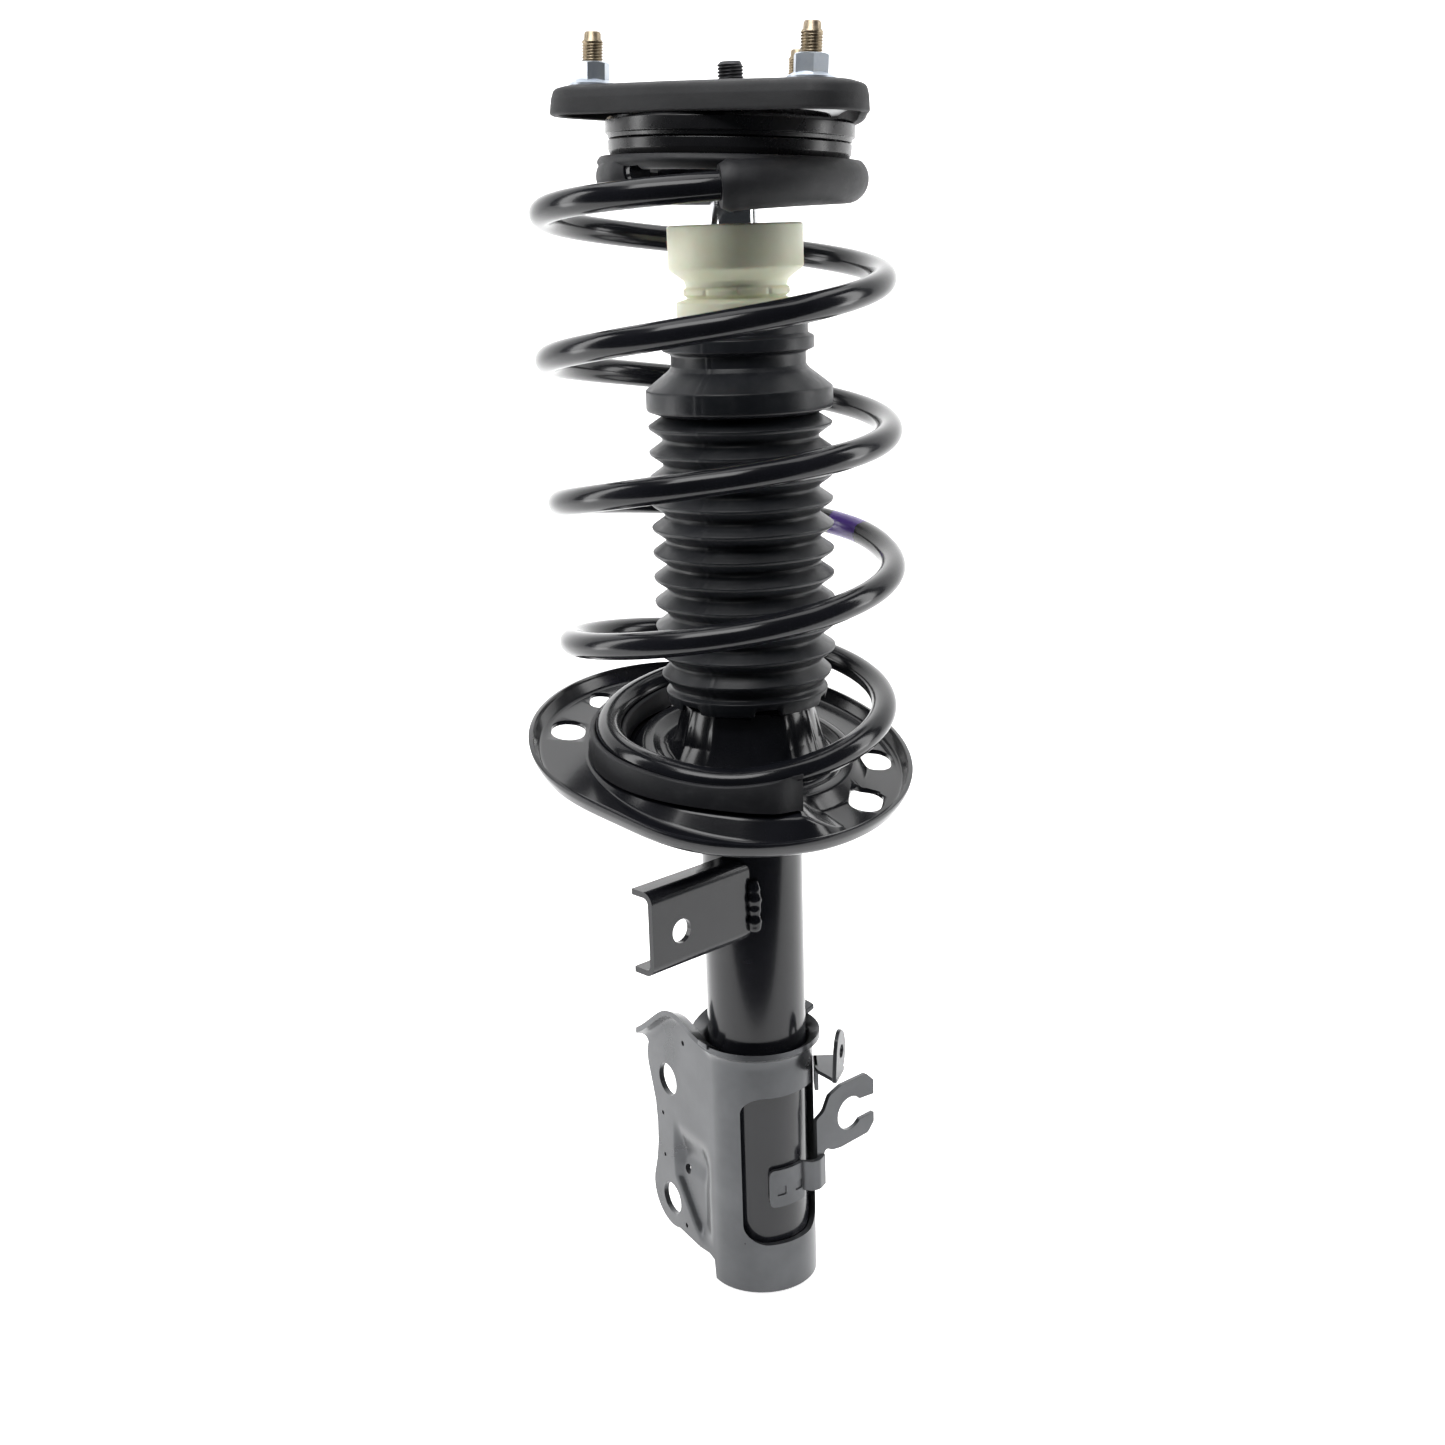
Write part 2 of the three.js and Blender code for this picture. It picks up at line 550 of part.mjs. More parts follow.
function topMount() {
  const skinLow = -3;
  const coreHoleR = 24;
  const skin = mountOutline(0);
  skin.holes.push(circleHole(0, 0, coreHoleR));
  const bossRoomR = 11.2;
  STUDS.forEach(([, x, y]) => skin.holes.push(circleHole(x, y, bossRoomR)));
  const skirt = mountOutline(0);
  skirt.holes.push(mountOutline(MOUNT_WALL));
  add('mount_rubber', join(pushed(skin, skinLow, 0, 6), pushed(skirt, -MOUNT_SKIRT, skinLow + 0.5, 6)),
    'rubber', mountFrame);

  const plateHigh = skinLow - GAP;
  const plateLow = plateHigh - 3;
  const hubR = 28;
  const hubWall = 2.5;
  const plate = mountOutline(MOUNT_WALL + GAP);
  plate.holes.push(circleHole(0, 0, hubR - hubWall));
  STUDS.forEach(([, x, y]) => plate.holes.push(circleHole(x, y, STUD_R + GAP)));
  const hub = tubeRing(hubR - hubWall, hubR, -26, plateHigh - 0.5, 24);
  const bosses = STUDS.map(([, x, y]) => {
    const boss = new THREE.Shape().absarc(x, y, bossRoomR - 1.2, 0, 2 * Math.PI);
    boss.holes.push(circleHole(x, y, STUD_R + GAP));
    return pushed(boss, plateHigh - 0.5, 0, 12);
  });
  add('mount_plate', join(pushed(plate, plateLow, plateHigh, 12), hub, ...bosses), 'bare_steel', mountFrame);
  add('mount_bush', tubeRing(16.2, hubR - hubWall - 2 * GAP, -25, -5, INNER_ROUND), 'rubber', mountFrame);

  STUDS.forEach(([label, x, y]) => {
    const stud = turned([
      [0, plateLow - GAP - 3], [8, plateLow - GAP - 3], [8, plateLow - GAP], [STUD_R, plateLow - GAP],
      [STUD_R, 20], [STUD_R - 1, 21], [STUD_R - 1, 23.5], [0, 23.5],
    ], 16);
    add(`stud_${label}`, stud.translate(x, y, 0), 'yellow_zinc', mountFrame);
    const flange = tubeRing(STUD_R + GAP, 10.3, GAP, 3, 16);
    const nut = join(flange, hexNut(14, STUD_R + GAP, 2.5, 10.5));
    add(`nut_${label}`, nut.translate(x, y, 0), 'white_zinc', mountFrame);
  });

  const housingHigh = plateLow - 3.7;
  const splitGap = GAP;
  const underSkirt = -MOUNT_SKIRT - 0.6;
  const raceLow = -30;
  const grooveR = [BALL_RING_R - BALL_R - GAP - 0.3, BALL_RING_R + BALL_R + GAP + 0.3];
  const split = BEARING_SPLIT;
  const grooveDepth = BALL_R + GAP;
  add('bearing_upper_housing', turned([
    [33, split + splitGap], [grooveR[0], split + splitGap], [grooveR[0], split + grooveDepth],
    [grooveR[1], split + grooveDepth], [grooveR[1], split + splitGap], [BEARING_R, split + splitGap],
    [BEARING_R, underSkirt - 1], [BEARING_R - 1, underSkirt], [46, underSkirt], [46, housingHigh],
    [33, housingHigh],
  ], 32), 'black_plastic', mountFrame);
  add('bearing_lower_race', turned([
    [33, raceLow], [BEARING_R - 1, raceLow], [BEARING_R - 1, split - splitGap],
    [grooveR[1], split - splitGap], [grooveR[1], split - grooveDepth], [grooveR[0], split - grooveDepth],
    [grooveR[0], split - splitGap], [33, split - splitGap],
  ], 32), 'black_plastic', mountFrame);

  let cage = tubeRing(BALL_RING_R - 1.2, BALL_RING_R + 1.2, split - 0.8, split + 0.8, INNER_ROUND);
  for (let k = 0; k < BALLS; k += 1) {
    const turn = (2 * Math.PI * k) / BALLS;
    const ball = new THREE.SphereGeometry(BALL_R, 6, 4);
    ball.translate(BALL_RING_R * Math.cos(turn), BALL_RING_R * Math.sin(turn), split);
    cage = join(cage, ball);
  }
  add('ball_cage', cage, 'bare_steel', mountFrame);

  const seatHigh = raceLow - GAP;
  add('upper_spring_seat', turned([
    [14.5, -46], [33, -46], [33, seatHigh - 3], [36, seatHigh - 1.5], [36, seatHigh], [30.5, seatHigh],
    [30.5, -43.5], [14.5, -43.5],
  ], INNER_ROUND), 'black_paint', mountFrame);
}

// The spring's upper rubber: a ring under the bearing, and a thick sleeve round the end coil.
function upperInsulator() {
  const high = -30 - GAP;
  const ring = tubeRing(38, 62, high - 6, high, 32).applyMatrix4(mountFrame.matrix);
  const sleeve = coilBar(101, 116, 10.2);
  const above = new THREE.CylinderGeometry(120, 120, 60, 8).rotateX(Math.PI / 2);
  above.translate(0, 0, high + 30).applyMatrix4(mountFrame.matrix);
  const seatRoom = tubeRing(0.5, 36.4, -60, high + 20, 24).applyMatrix4(mountFrame.matrix);
  const wireRoom = coilBar(93, WIRE_JOINTS + 2, WIRE_ROOM_R);
  add('upper_insulator', cut(join(ring, sleeve), above, seatRoom, wireRoom), 'rubber');
}

// The steel sleeve clamped on the rod's shoulder, and the nut that holds it.
function rodTop() {
  const shoulder = 577.4;
  const sleeveTop = 594;
  add('mount_core', turned([
    [THREAD_R + 0.5, shoulder + 1], [15, shoulder + 1], [15, sleeveTop], [THREAD_R + 0.5, sleeveTop],
  ], 24), 'bare_steel');
  add('rod_nut', hexNut(22, THREAD_R + GAP, sleeveTop + GAP, sleeveTop + 11), 'bare_steel');
}

// ---------------------------------------------------------------- knuckle bracket
function earOutline() {
  const shape = new THREE.Shape();
  const [[lowX, lowZ], [highX, highZ]] = EAR_HOLES;
  const lobe = 18.5;
  shape.moveTo(-4, 16);
  shape.lineTo(12, 14);
  shape.absarc(lowX, lowZ + 3, lobe, -0.65 * Math.PI, 0.08 * Math.PI);
  shape.quadraticCurveTo(57, 58, 58, 74);
  shape.quadraticCurveTo(60, 90, 65.5, 97);
  shape.absarc(highX, highZ + 6, 20.5, -0.1 * Math.PI, 0.2 * Math.PI);
  shape.lineTo(42, 137);
  shape.quadraticCurveTo(28, 146, 14, 141);
  shape.lineTo(-4, 139);
  shape.lineTo(-4, 16);
  EAR_HOLES.forEach(([x, z]) => shape.holes.push(circleHole(x, z, EAR_HOLE_R)));
  return shape;
}

function knuckleBracket() {
  const innerR = TUBE_R + GAP;
  const ring = turned([
    [innerR, KNUCKLE_BOTTOM], [KNUCKLE_R, KNUCKLE_BOTTOM], [KNUCKLE_R, 132], [KNUCKLE_R + 1, 137],
    [KNUCKLE_R + 4, 142], [KNUCKLE_R + 1.5, 144], [innerR, 136],
  ]);
  const ears = [1, -1].map((side) => {
    const outer = side > 0 ? KNUCKLE_R : -KNUCKLE_R + KNUCKLE_SHEET;
    const flat = pushed(earOutline(), 0, KNUCKLE_SHEET, 6);
    return stoodUp(flat.translate(0, 0, -outer), KNUCKLE_TURN);
  });
  const tubeRoom = turned([[0, -10], [innerR, -10], [innerR, 200], [0, 200]]);
  const window = stoodUp(pushed(roundedRectangle(-22, 30, 22, 112, 10), -60, 0, 4), KNUCKLE_TURN + 90);
  // a shallow step beside each ear, so that its inner face is flat right up to its root
  const reliefs = [1, -1].map((side) => {
    const box = new THREE.BoxGeometry(10.5, 200, 1).translate(15.75, 70, side * (innerR - 0.5));
    return stoodUp(box, KNUCKLE_TURN);
  });
  add('knuckle_bracket', cut(join(ring, ...ears), tubeRoom, window, ...reliefs), 'grey_black_paint');
}

// ---------------------------------------------------------------- stabiliser-link bracket
function linkBracket() {
  const inner = LINK_WEB - LINK_SHEET;
  const back = LINK_WEB - LINK_FLANGE;
  // the channel's section: drawn x is the distance from the axis to the front, drawn y is height
  const section = new THREE.Shape();
  const bend = 5;
  section.moveTo(back, LINK_LOW);
  section.absarc(LINK_WEB - bend, LINK_LOW + bend, bend, -Math.PI / 2, 0);
  section.absarc(LINK_WEB - bend, LINK_HIGH - bend, bend, 0, Math.PI / 2);
  section.lineTo(back, LINK_HIGH);
  section.lineTo(back, LINK_HIGH - LINK_SHEET);
  section.absarc(inner - 2, LINK_HIGH - LINK_SHEET - 2, 2, Math.PI / 2, 0, true);
  section.absarc(inner - 2, LINK_LOW + LINK_SHEET + 2, 2, 0, -Math.PI / 2, true);
  section.lineTo(back, LINK_LOW + LINK_SHEET);
  const channel = pushed(section, 0, LINK_REACH, 3);
  // local x to the bracket's front, local y to height, local z along its reach
  const reach = THREE.MathUtils.degToRad(LINK_TURN);
  const alongReach = new THREE.Vector3(Math.cos(reach), Math.sin(reach), 0);
  const toFront = new THREE.Vector3(-Math.sin(reach), Math.cos(reach), 0);
  const frame = new THREE.Matrix4().makeBasis(toFront, new THREE.Vector3(0, 0, 1), alongReach);
  channel.applyMatrix4(frame);
  const [holeAt, holeZ, holeR] = LINK_HOLE;
  const drill = new THREE.CylinderGeometry(holeR, holeR, 60, 18).rotateZ(Math.PI / 2);
  drill.translate(0, holeZ, holeAt).applyMatrix4(frame);
  const tubeRoom = turned([[0, 150], [TUBE_R + GAP, 150], [TUBE_R + GAP, 260], [0, 260]]);
  const pastTube = new THREE.BoxGeometry(80, 200, 40).translate(0, LINK_LOW, 0).applyMatrix4(frame);
  add('link_bracket', cut(channel, drill, tubeRoom, pastTube), 'black_paint');
}

// A weld bead standing on the tube, from one height to another.
function weldBead(name, turn, low, high) {
  const bead = new THREE.CapsuleGeometry(2.6, high - low, 3, 8).rotateX(Math.PI / 2);
  const angle = THREE.MathUtils.degToRad(turn);
  const reach = TUBE_R + 1.2;
  bead.translate(reach * Math.cos(angle), reach * Math.sin(angle), (low + high) / 2);
  const tubeRoom = turned([[0, 0], [TUBE_R + GAP, 0], [TUBE_R + GAP, 300], [0, 300]]);
  add(name, cut(bead, tubeRoom), 'black_paint');
}

// ---------------------------------------------------------------- brake-hose and sensor-line brackets
function hoseBracket() {
  const inner = TUBE_R + GAP;
  const outer = inner + HOSE_SHEET - 0.5;
  const [from, to] = [278, 324].map(THREE.MathUtils.degToRad);
  const arc = new THREE.Shape();
  arc.absarc(0, 0, outer, from, to);
  arc.absarc(0, 0, inner, to, from, true);
  const strap = pushed(arc, 50, 71, 8);
  // the lug bulges out of the strap's end and turns to meet the hook plate
  const lug = polygonShape([
    [20.8, -15.2], [22, -17], [27, -18.4], [31, -16.4], [34.2, -10.6], [32.2, -8.9], [29.6, -13.8], [26.6, -15.7],
  ]);
  const [boreAt, boreZ, boreR] = HOOK_BORE;
  const mouth = Math.asin(HOOK_SLOT / 2 / boreR);
  const upright = new THREE.Shape();
  upright.moveTo(14.5, 66);
  upright.lineTo(19.5, 66);
  upright.lineTo(20.7, 75.6);
  upright.lineTo(25.6, 71.2);
  upright.lineTo(31.8, 70);
  upright.lineTo(52, 71.4);
  upright.lineTo(HOOK_TIP, 76.5);
  upright.lineTo(HOOK_TIP, boreZ - HOOK_SLOT / 2);
  upright.absarc(boreAt, boreZ, boreR, -mouth, mouth, true);
  upright.lineTo(HOOK_TIP, boreZ + HOOK_SLOT / 2);
  upright.lineTo(HOOK_TIP, 101);
  upright.lineTo(51.2, 106.2);
  upright.lineTo(32.5, 105.6);
  upright.lineTo(24, 103);
  upright.lineTo(21, 98.8);
  upright.lineTo(14.5, 92);
  const hook = stoodUp(pushed(upright, HOOK_FACE - HOSE_SHEET, HOOK_FACE, 8), HOOK_TURN);
  const tubeRoom = turned([[0, 0], [inner, 0], [inner, 120], [0, 120]]);
  add('hose_bracket', cut(join(strap, pushed(lug, 54, 71), hook), tubeRoom), 'grey_black_paint');
}

function sensorBracket() {
  const foot = KNUCKLE_R + GAP;
  const sheet = 2.2;
  const shelfLow = 119;
  const shelf = polygonShape([
    [foot, 4], [foot, -9], [30.5, -14], [38.4, -25.2], [39.6, -25.6], [44.6, -10.6], [43.4, 4],
  ]);
  const tab = polygonShape([
    [-11, shelfLow], [-1.3, shelfLow], [5.3, 123.5], [7.4, 129], [7.5, 135.2], [5.4, 141], [0.5, 144.5],
    [-3, 143.8], [-6.4, 140.4], [-8.6, 134.8],
  ]);
  tab.holes.push(circleHole(...TAB_HOLE));
  const upright = stoodUp(pushed(tab, TAB_FACE - sheet, TAB_FACE, 6), TAB_TURN);
  const footPlate = new THREE.BoxGeometry(sheet, 13, 14).translate(foot + sheet / 2, -2.5, shelfLow - 5);
  add('sensor_bracket', join(pushed(shelf, shelfLow, shelfLow + sheet), upright, footPlate), 'grey_black_paint');
}

damper();
rodAndPiston();
bumpStop();
dustBoot();
add('coil_spring', coilBar(0, WIRE_JOINTS, WIRE_R), 'black_paint');
lowerSeat();
lowerInsulator();
topMount();
upperInsulator();
rodTop();
knuckleBracket();
linkBracket();
weldBead('link_weld', 270, 205, 221);
hoseBracket();
sensorBracket();

export default strut;
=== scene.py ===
"""Front suspension strut: the looks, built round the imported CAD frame. Shapes are drawn in millimetres."""
import functools
import json
import math

import bmesh
import bpy
from mathutils import Matrix, Vector


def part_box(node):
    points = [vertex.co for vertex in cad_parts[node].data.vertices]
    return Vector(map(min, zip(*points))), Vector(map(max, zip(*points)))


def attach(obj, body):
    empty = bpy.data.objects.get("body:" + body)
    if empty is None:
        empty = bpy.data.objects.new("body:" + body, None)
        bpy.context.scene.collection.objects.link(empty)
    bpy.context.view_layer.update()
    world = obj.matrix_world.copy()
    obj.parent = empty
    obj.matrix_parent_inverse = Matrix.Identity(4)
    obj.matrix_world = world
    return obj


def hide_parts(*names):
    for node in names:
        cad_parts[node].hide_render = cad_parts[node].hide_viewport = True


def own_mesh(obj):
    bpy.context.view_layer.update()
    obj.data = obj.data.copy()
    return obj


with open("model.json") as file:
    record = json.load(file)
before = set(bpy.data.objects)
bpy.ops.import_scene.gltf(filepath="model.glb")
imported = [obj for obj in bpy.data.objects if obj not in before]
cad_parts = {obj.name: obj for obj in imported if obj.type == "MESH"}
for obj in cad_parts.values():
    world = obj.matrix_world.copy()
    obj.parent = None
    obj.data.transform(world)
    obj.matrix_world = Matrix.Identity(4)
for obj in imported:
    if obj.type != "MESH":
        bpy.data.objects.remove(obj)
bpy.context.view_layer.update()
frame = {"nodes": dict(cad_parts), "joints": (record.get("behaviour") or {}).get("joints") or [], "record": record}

MM = 0.001


def low(node):
    """The lowest corner of a CAD node, in millimetres."""
    return Vector(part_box(node)[0]) / MM


def high(node):
    """The highest corner of a CAD node, in millimetres."""
    return Vector(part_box(node)[1]) / MM


def joint_named(name):
    return next(joint for joint in frame["joints"] if joint["name"] == name)


def travel_of(name):
    """How far a sliding joint of the frame goes, in metres."""
    lowest, highest = joint_named(name)["range_m"]
    return highest - lowest


# ------------------------------------------------------------------ driving dimensions, from the frame
TUBE_R = (high("strut_tube").x - low("strut_tube").x) / 2
ROD_R = (high("piston_rod").y - low("piston_rod").y) / 2
ROD_TIP = high("piston_rod").z
BUMP_R = (high("bump_stop").x - low("bump_stop").x) / 2
BUMP_TOP = high("bump_stop").z
BOOT_R = (high("dust_boot").x - low("dust_boot").x) / 2
BOOT_BOTTOM = low("dust_boot").z
BOOT_TOP = high("dust_boot").z
MOUNT_UP = Vector(joint_named("steer")["axis"]).normalized()
MOUNT_TOP = 603.0
MOUNT_TILT = math.atan2(MOUNT_UP.x, MOUNT_UP.z)
MOUNT_FRAME = Matrix.Translation((0, 0, MOUNT_TOP)) @ Matrix.Rotation(MOUNT_TILT, 4, "Y")

WIRE_R = 6.25
# [angle in degrees, height, mean radius, offset of the coil's centre along X] along the wire
COIL_STATIONS = [
    (100, 321, 63, -2),
    (140, 313.5, 66, -2),
    (180, 306.5, 67.5, -2),
    (225, 299.5, 68.3, -2),
    (270, 295, 68.5, -2),
    (360, 313.8, 69.5, -2),
    (450, 334, 75, -4),
    (540, 349.4, 79, -6),
    (720, 383.9, 79, -7),
    (757, 393, 79, -7.2),
    (900, 417.1, 79.3, -7.7),
    (985, 434.8, 79.4, -8.1),
    (1080, 449.1, 79.5, -8.6),
    (1260, 484, 79.5, -10),
    (1440, 518.8, 79.5, -11),
    (1620, 550.9, 77.5, -11.5),
    (1710, 559.5, 63, -8),
    (1800, 562.5, 53, -1),
    (1920, 565, 53, 0),
    (2020, 567.5, 54.5, 0),
]
WIRE_START = COIL_STATIONS[0][0]
WIRE_END = COIL_STATIONS[-1][0]
SLEEVE_START = 1711.0  # where the upper rubber's sleeve begins, in degrees along the wire
MARK_MIDDLE = 757  # the purple mark's middle and half length, in degrees along the wire
MARK_HALF = 8

SEAT_Z = 293.5
SEAT_SLOPE_X = -0.115
SEAT_SLOPE_Y = 0.215
SEAT_CENTRE = (-14.0, -2.0)
SEAT_RIM_R = 93.0
SEAT_LIP = 7.0
STEP_HEIGHT = 10.0  # how far the seat's floor is raised under the first coil
STEP_FROM = 182.0
STEP_TO = 306.0

STUDS = {"1": (-63, 0), "2": (33, -60), "3": (33, 60)}
MOUNT_CORNER_R = 22.0

KNUCKLE_R = 28.8
KNUCKLE_SHEET = 3.0
KNUCKLE_TURN = math.radians(122)
EAR_HOLES = [(45.5, 29.0), (45.5, 100.3)]

LINK_TURN = math.radians(223.8)
HOOK_TURN = math.radians(40)
HOOK_FACE = 29.0
HOOK_BORE = (39.0, 87.5, 9.2)
HOOK_TIP = 56.5
HOOK_SLOT = 11.8
TAB_TURN = math.radians(70)
TAB_FACE = 45.8
STRAP_OUTER = TUBE_R + 2.3
STRAP_BOTTOM = 50
STRAP_TOP = 71


# ------------------------------------------------------------------ small numeric helpers
def clamp(value, lowest=0.0, highest=1.0):
    return max(lowest, min(highest, value))


def ease(value):
    """0 below 0, 1 above 1, and a smooth step between."""
    value = clamp(value)
    return value * value * (3 - 2 * value)


def mix(a, b, share):
    return a + (b - a) * share


def bump(value, centre, width):
    return math.exp(-(((value - centre) / width) ** 2))


def angle_off(turn, centre_degrees):
    """Signed angle from a centre, in degrees, between -180 and 180."""
    return (math.degrees(turn) - centre_degrees + 180) % 360 - 180


def follow(stations, place, column):
    """One column of a list of stations at a value of the first column, along a smooth curve."""
    last = len(stations) - 1
    k = next((i for i, station in enumerate(stations) if station[0] > place), last) - 1
    k = int(clamp(k, 0, last - 1))

    def slope(n):
        before = stations[max(n - 1, 0)]
        after = stations[min(n + 1, last)]
        return (after[column] - before[column]) / (after[0] - before[0])

    start, end = stations[k], stations[k + 1]
    width = end[0] - start[0]
    t = (place - start[0]) / width
    rise = end[column] - start[column]
    bend = t * (1 - t) * ((1 - t) * (slope(k) * width - rise) - t * (slope(k + 1) * width - rise))
    return start[column] + rise * t + bend


# ------------------------------------------------------------------ mesh helpers
def new_object(name, points, faces):
    mesh = bpy.data.meshes.new(name)
    mesh.from_pydata([Vector(point) * MM for point in points], [], faces)
    mesh.update()
    obj = bpy.data.objects.new(name, mesh)
    bpy.context.scene.collection.objects.link(obj)
    return obj


def apply_modifiers(obj):
    graph = bpy.context.evaluated_depsgraph_get()
    mesh = bpy.data.meshes.new_from_object(obj.evaluated_get(graph))
    obj.modifiers.clear()
    old = obj.data
    obj.data = mesh
    bpy.data.meshes.remove(old)


def boolean(obj, tool, operation="DIFFERENCE"):
    modifier = obj.modifiers.new("cut", "BOOLEAN")
    modifier.operation = operation
    modifier.solver = "EXACT"
    modifier.object = tool
    apply_modifiers(obj)
    mesh = tool.data
    bpy.data.objects.remove(tool)
    bpy.data.meshes.remove(mesh)


def bevel(obj, width, angle):
    """Rounds the edges that are sharper than an angle."""
    modifier = obj.modifiers.new("bevel", "BEVEL")
    modifier.width = width * MM
    modifier.segments = 2
    modifier.limit_method = "ANGLE"
    modifier.angle_limit = math.radians(angle)
    modifier.use_clamp_overlap = True
    apply_modifiers(obj)
    return obj


def shade(obj, angle):
    """Smooth shading with sharp edges above an angle."""
    mesh = obj.data
    work = bmesh.new()
    work.from_mesh(mesh)
    for face in work.faces:
        face.smooth = True
    for edge in work.edges:
        sharp = len(edge.link_faces) == 2 and edge.calc_face_angle(0) > math.radians(angle)
        edge.smooth = not sharp
    work.to_mesh(mesh)
    work.free()


def weigh_normals(obj):
    """Keeps the shading of big flat faces flat beside narrow bevels."""
    modifier = obj.modifiers.new("weighted", "WEIGHTED_NORMAL")
    modifier.keep_sharp = True
    apply_modifiers(obj)


def outward(obj):
    """Turns every face of a closed mesh outwards."""
    work = bmesh.new()
    work.from_mesh(obj.data)
    bmesh.ops.recalc_face_normals(work, faces=work.faces)
    work.to_mesh(obj.data)
    work.free()
    return obj


def place(obj, matrix):
    """Moves the mesh of a new piece from its own drawing frame, in millimetres, into the row frame."""
    scaled = Matrix.Translation(matrix.to_translation() * MM) @ matrix.to_3x3().to_4x4()
    obj.data.transform(scaled)
    return obj


def join(name, objects):
    """Several meshes as one object, which keeps every mesh's own shells."""
    work = bmesh.new()
    for obj in objects:
        work.from_mesh(obj.data)
    mesh = bpy.data.meshes.new(name)
    work.to_mesh(mesh)
    work.free()
    for obj in objects:
        old = obj.data
        bpy.data.objects.remove(obj)
        bpy.data.meshes.remove(old)
    joined = bpy.data.objects.new(name, mesh)
    bpy.context.scene.collection.objects.link(joined)
    return joined


def weld(obj, distance=0.001):
    """Merges points that fall together, as on the axis of a turned piece."""
    work = bmesh.new()
    work.from_mesh(obj.data)
    bmesh.ops.remove_doubles(work, verts=work.verts, dist=distance * MM)
    bmesh.ops.dissolve_degenerate(work, edges=work.edges, dist=distance * MM)
    work.to_mesh(obj.data)
    work.free()
    return obj


def ringed(name, rings, closed=False):
    """A solid through rings of the same number of points. Its ends are capped, or with closed its last
    ring is joined to its first."""
    count = len(rings[0])
    points = [point for ring in rings for point in ring]
    faces = []
    layers = len(rings) if closed else len(rings) - 1
    for j in range(layers):
        here, there = j * count, (j + 1) % len(rings) * count
        for k in range(count):
            after = (k + 1) % count
            faces.append((here + k, here + after, there + after, there + k))
    if not closed:
        faces.append(tuple(reversed(range(count))))
        faces.append(tuple(range((len(rings) - 1) * count, len(rings) * count)))
    return outward(new_object(name, points, faces))


def turned(name, profile, segments=128, shape=None):
    """A closed [radius, height] outline turned about Z. shape(radius, height, turn) may move a point."""
    rings = []
    for i in range(segments):
        turn = 2 * math.pi * i / segments
        shaped = [shape(*point, turn) if shape else point for point in profile]
        rings.append([(r * math.cos(turn), r * math.sin(turn), height) for r, height in shaped])
    return outward(weld(ringed(name, rings, closed=True)))


def turn_vector(vector, clockwise):
    """A plane vector turned clockwise, the sense of mathutils' signed angle."""
    c, s = math.cos(clockwise), math.sin(clockwise)
    return Vector((vector.x * c + vector.y * s, -vector.x * s + vector.y * c))


def corner_arc(before, corner, after, steps):
    """Points of the arc that rounds one corner, given as (x, y, radius)."""
    here = Vector(corner[:2])
    before = Vector(before[:2]) - here
    after = Vector(after[:2]) - here
    opening = before.angle(after)
    room = 0.48 * min(before.length, after.length)
    if opening > math.radians(179):
        start, end = here + before.normalized() * room * 0.2, here + after.normalized() * room * 0.2
        return [tuple(start.lerp(end, k / steps)) for k in range(steps + 1)]
    reach = min(max(corner[2] / math.tan(opening / 2), 0.25), room)
    radius = reach * math.tan(opening / 2)
    middle = (before.normalized() + after.normalized()).normalized()
    centre = here + middle * (radius / math.sin(opening / 2))
    start = here + before.normalized() * reach - centre
    end = here + after.normalized() * reach - centre
    sweep = start.angle_signed(end)
    return [tuple(centre + turn_vector(start, sweep * k / steps)) for k in range(steps + 1)]


def rounded(corners, steps=5):
    """A closed outline with an arc of its own radius at each (x, y, radius) corner."""
    outline = []
    count = len(corners)
    for k, corner in enumerate(corners):
        if corner[2] > 0:
            outline += corner_arc(corners[k - 1], corner, corners[(k + 1) % count], steps)
        else:
            outline.append(tuple(corner[:2]))
    return outline


def rounded_open(corners, steps):
    """An open outline with an arc at each inner corner, and always the same number of points."""
    outline = [tuple(corners[0][:2])]
    for k in range(1, len(corners) - 1):
        outline += corner_arc(corners[k - 1], corners[k], corners[k + 1], steps)
    outline.append(tuple(corners[-1][:2]))
    return outline


def arc(x, y, radius, start, end, steps=16):
    """Points of an arc, with its angles in degrees."""
    angles = [math.radians(mix(start, end, k / steps)) for k in range(steps + 1)]
    return [(x + radius * math.cos(a), y + radius * math.sin(a)) for a in angles]


def prism(name, outline, bottom, top):
    """A closed outline in the XY plane, pushed from one height to another."""
    count = len(outline)
    points = [(x, y, bottom) for x, y in outline] + [(x, y, top) for x, y in outline]
    sides = [(k, (k + 1) % count, (k + 1) % count + count, k + count) for k in range(count)]
    faces = [tuple(reversed(range(count))), tuple(range(count, 2 * count))] + sides
    return outward(new_object(name, points, faces))


def drill(obj, x, y, radius, sides, bottom, top, matrix=Matrix.Identity(4)):
    """Cuts a round hole through a piece; matrix places the hole's own drawing frame."""
    outline = arc(x, y, radius, 0, 360 - 360 / sides, sides - 1)
    boolean(obj, place(prism("hole", outline, bottom, top), matrix))


def around(turn, radius=1.0, height=0.0):
    """The point at a turn about Z, a distance from it, and a height."""
    return Vector((radius * math.cos(turn), radius * math.sin(turn), height))


def axes(x, y, z):
    """The frame with three given unit vectors as its X, Y and Z."""
    return Matrix((x, y, z)).transposed().to_4x4()


def upright(turn):
    """A frame whose X runs along a direction in plan, whose Y is height, and whose Z is the
    direction's right-hand side."""
    return axes(around(turn), Vector((0, 0, 1)), Vector((math.sin(turn), -math.cos(turn), 0)))


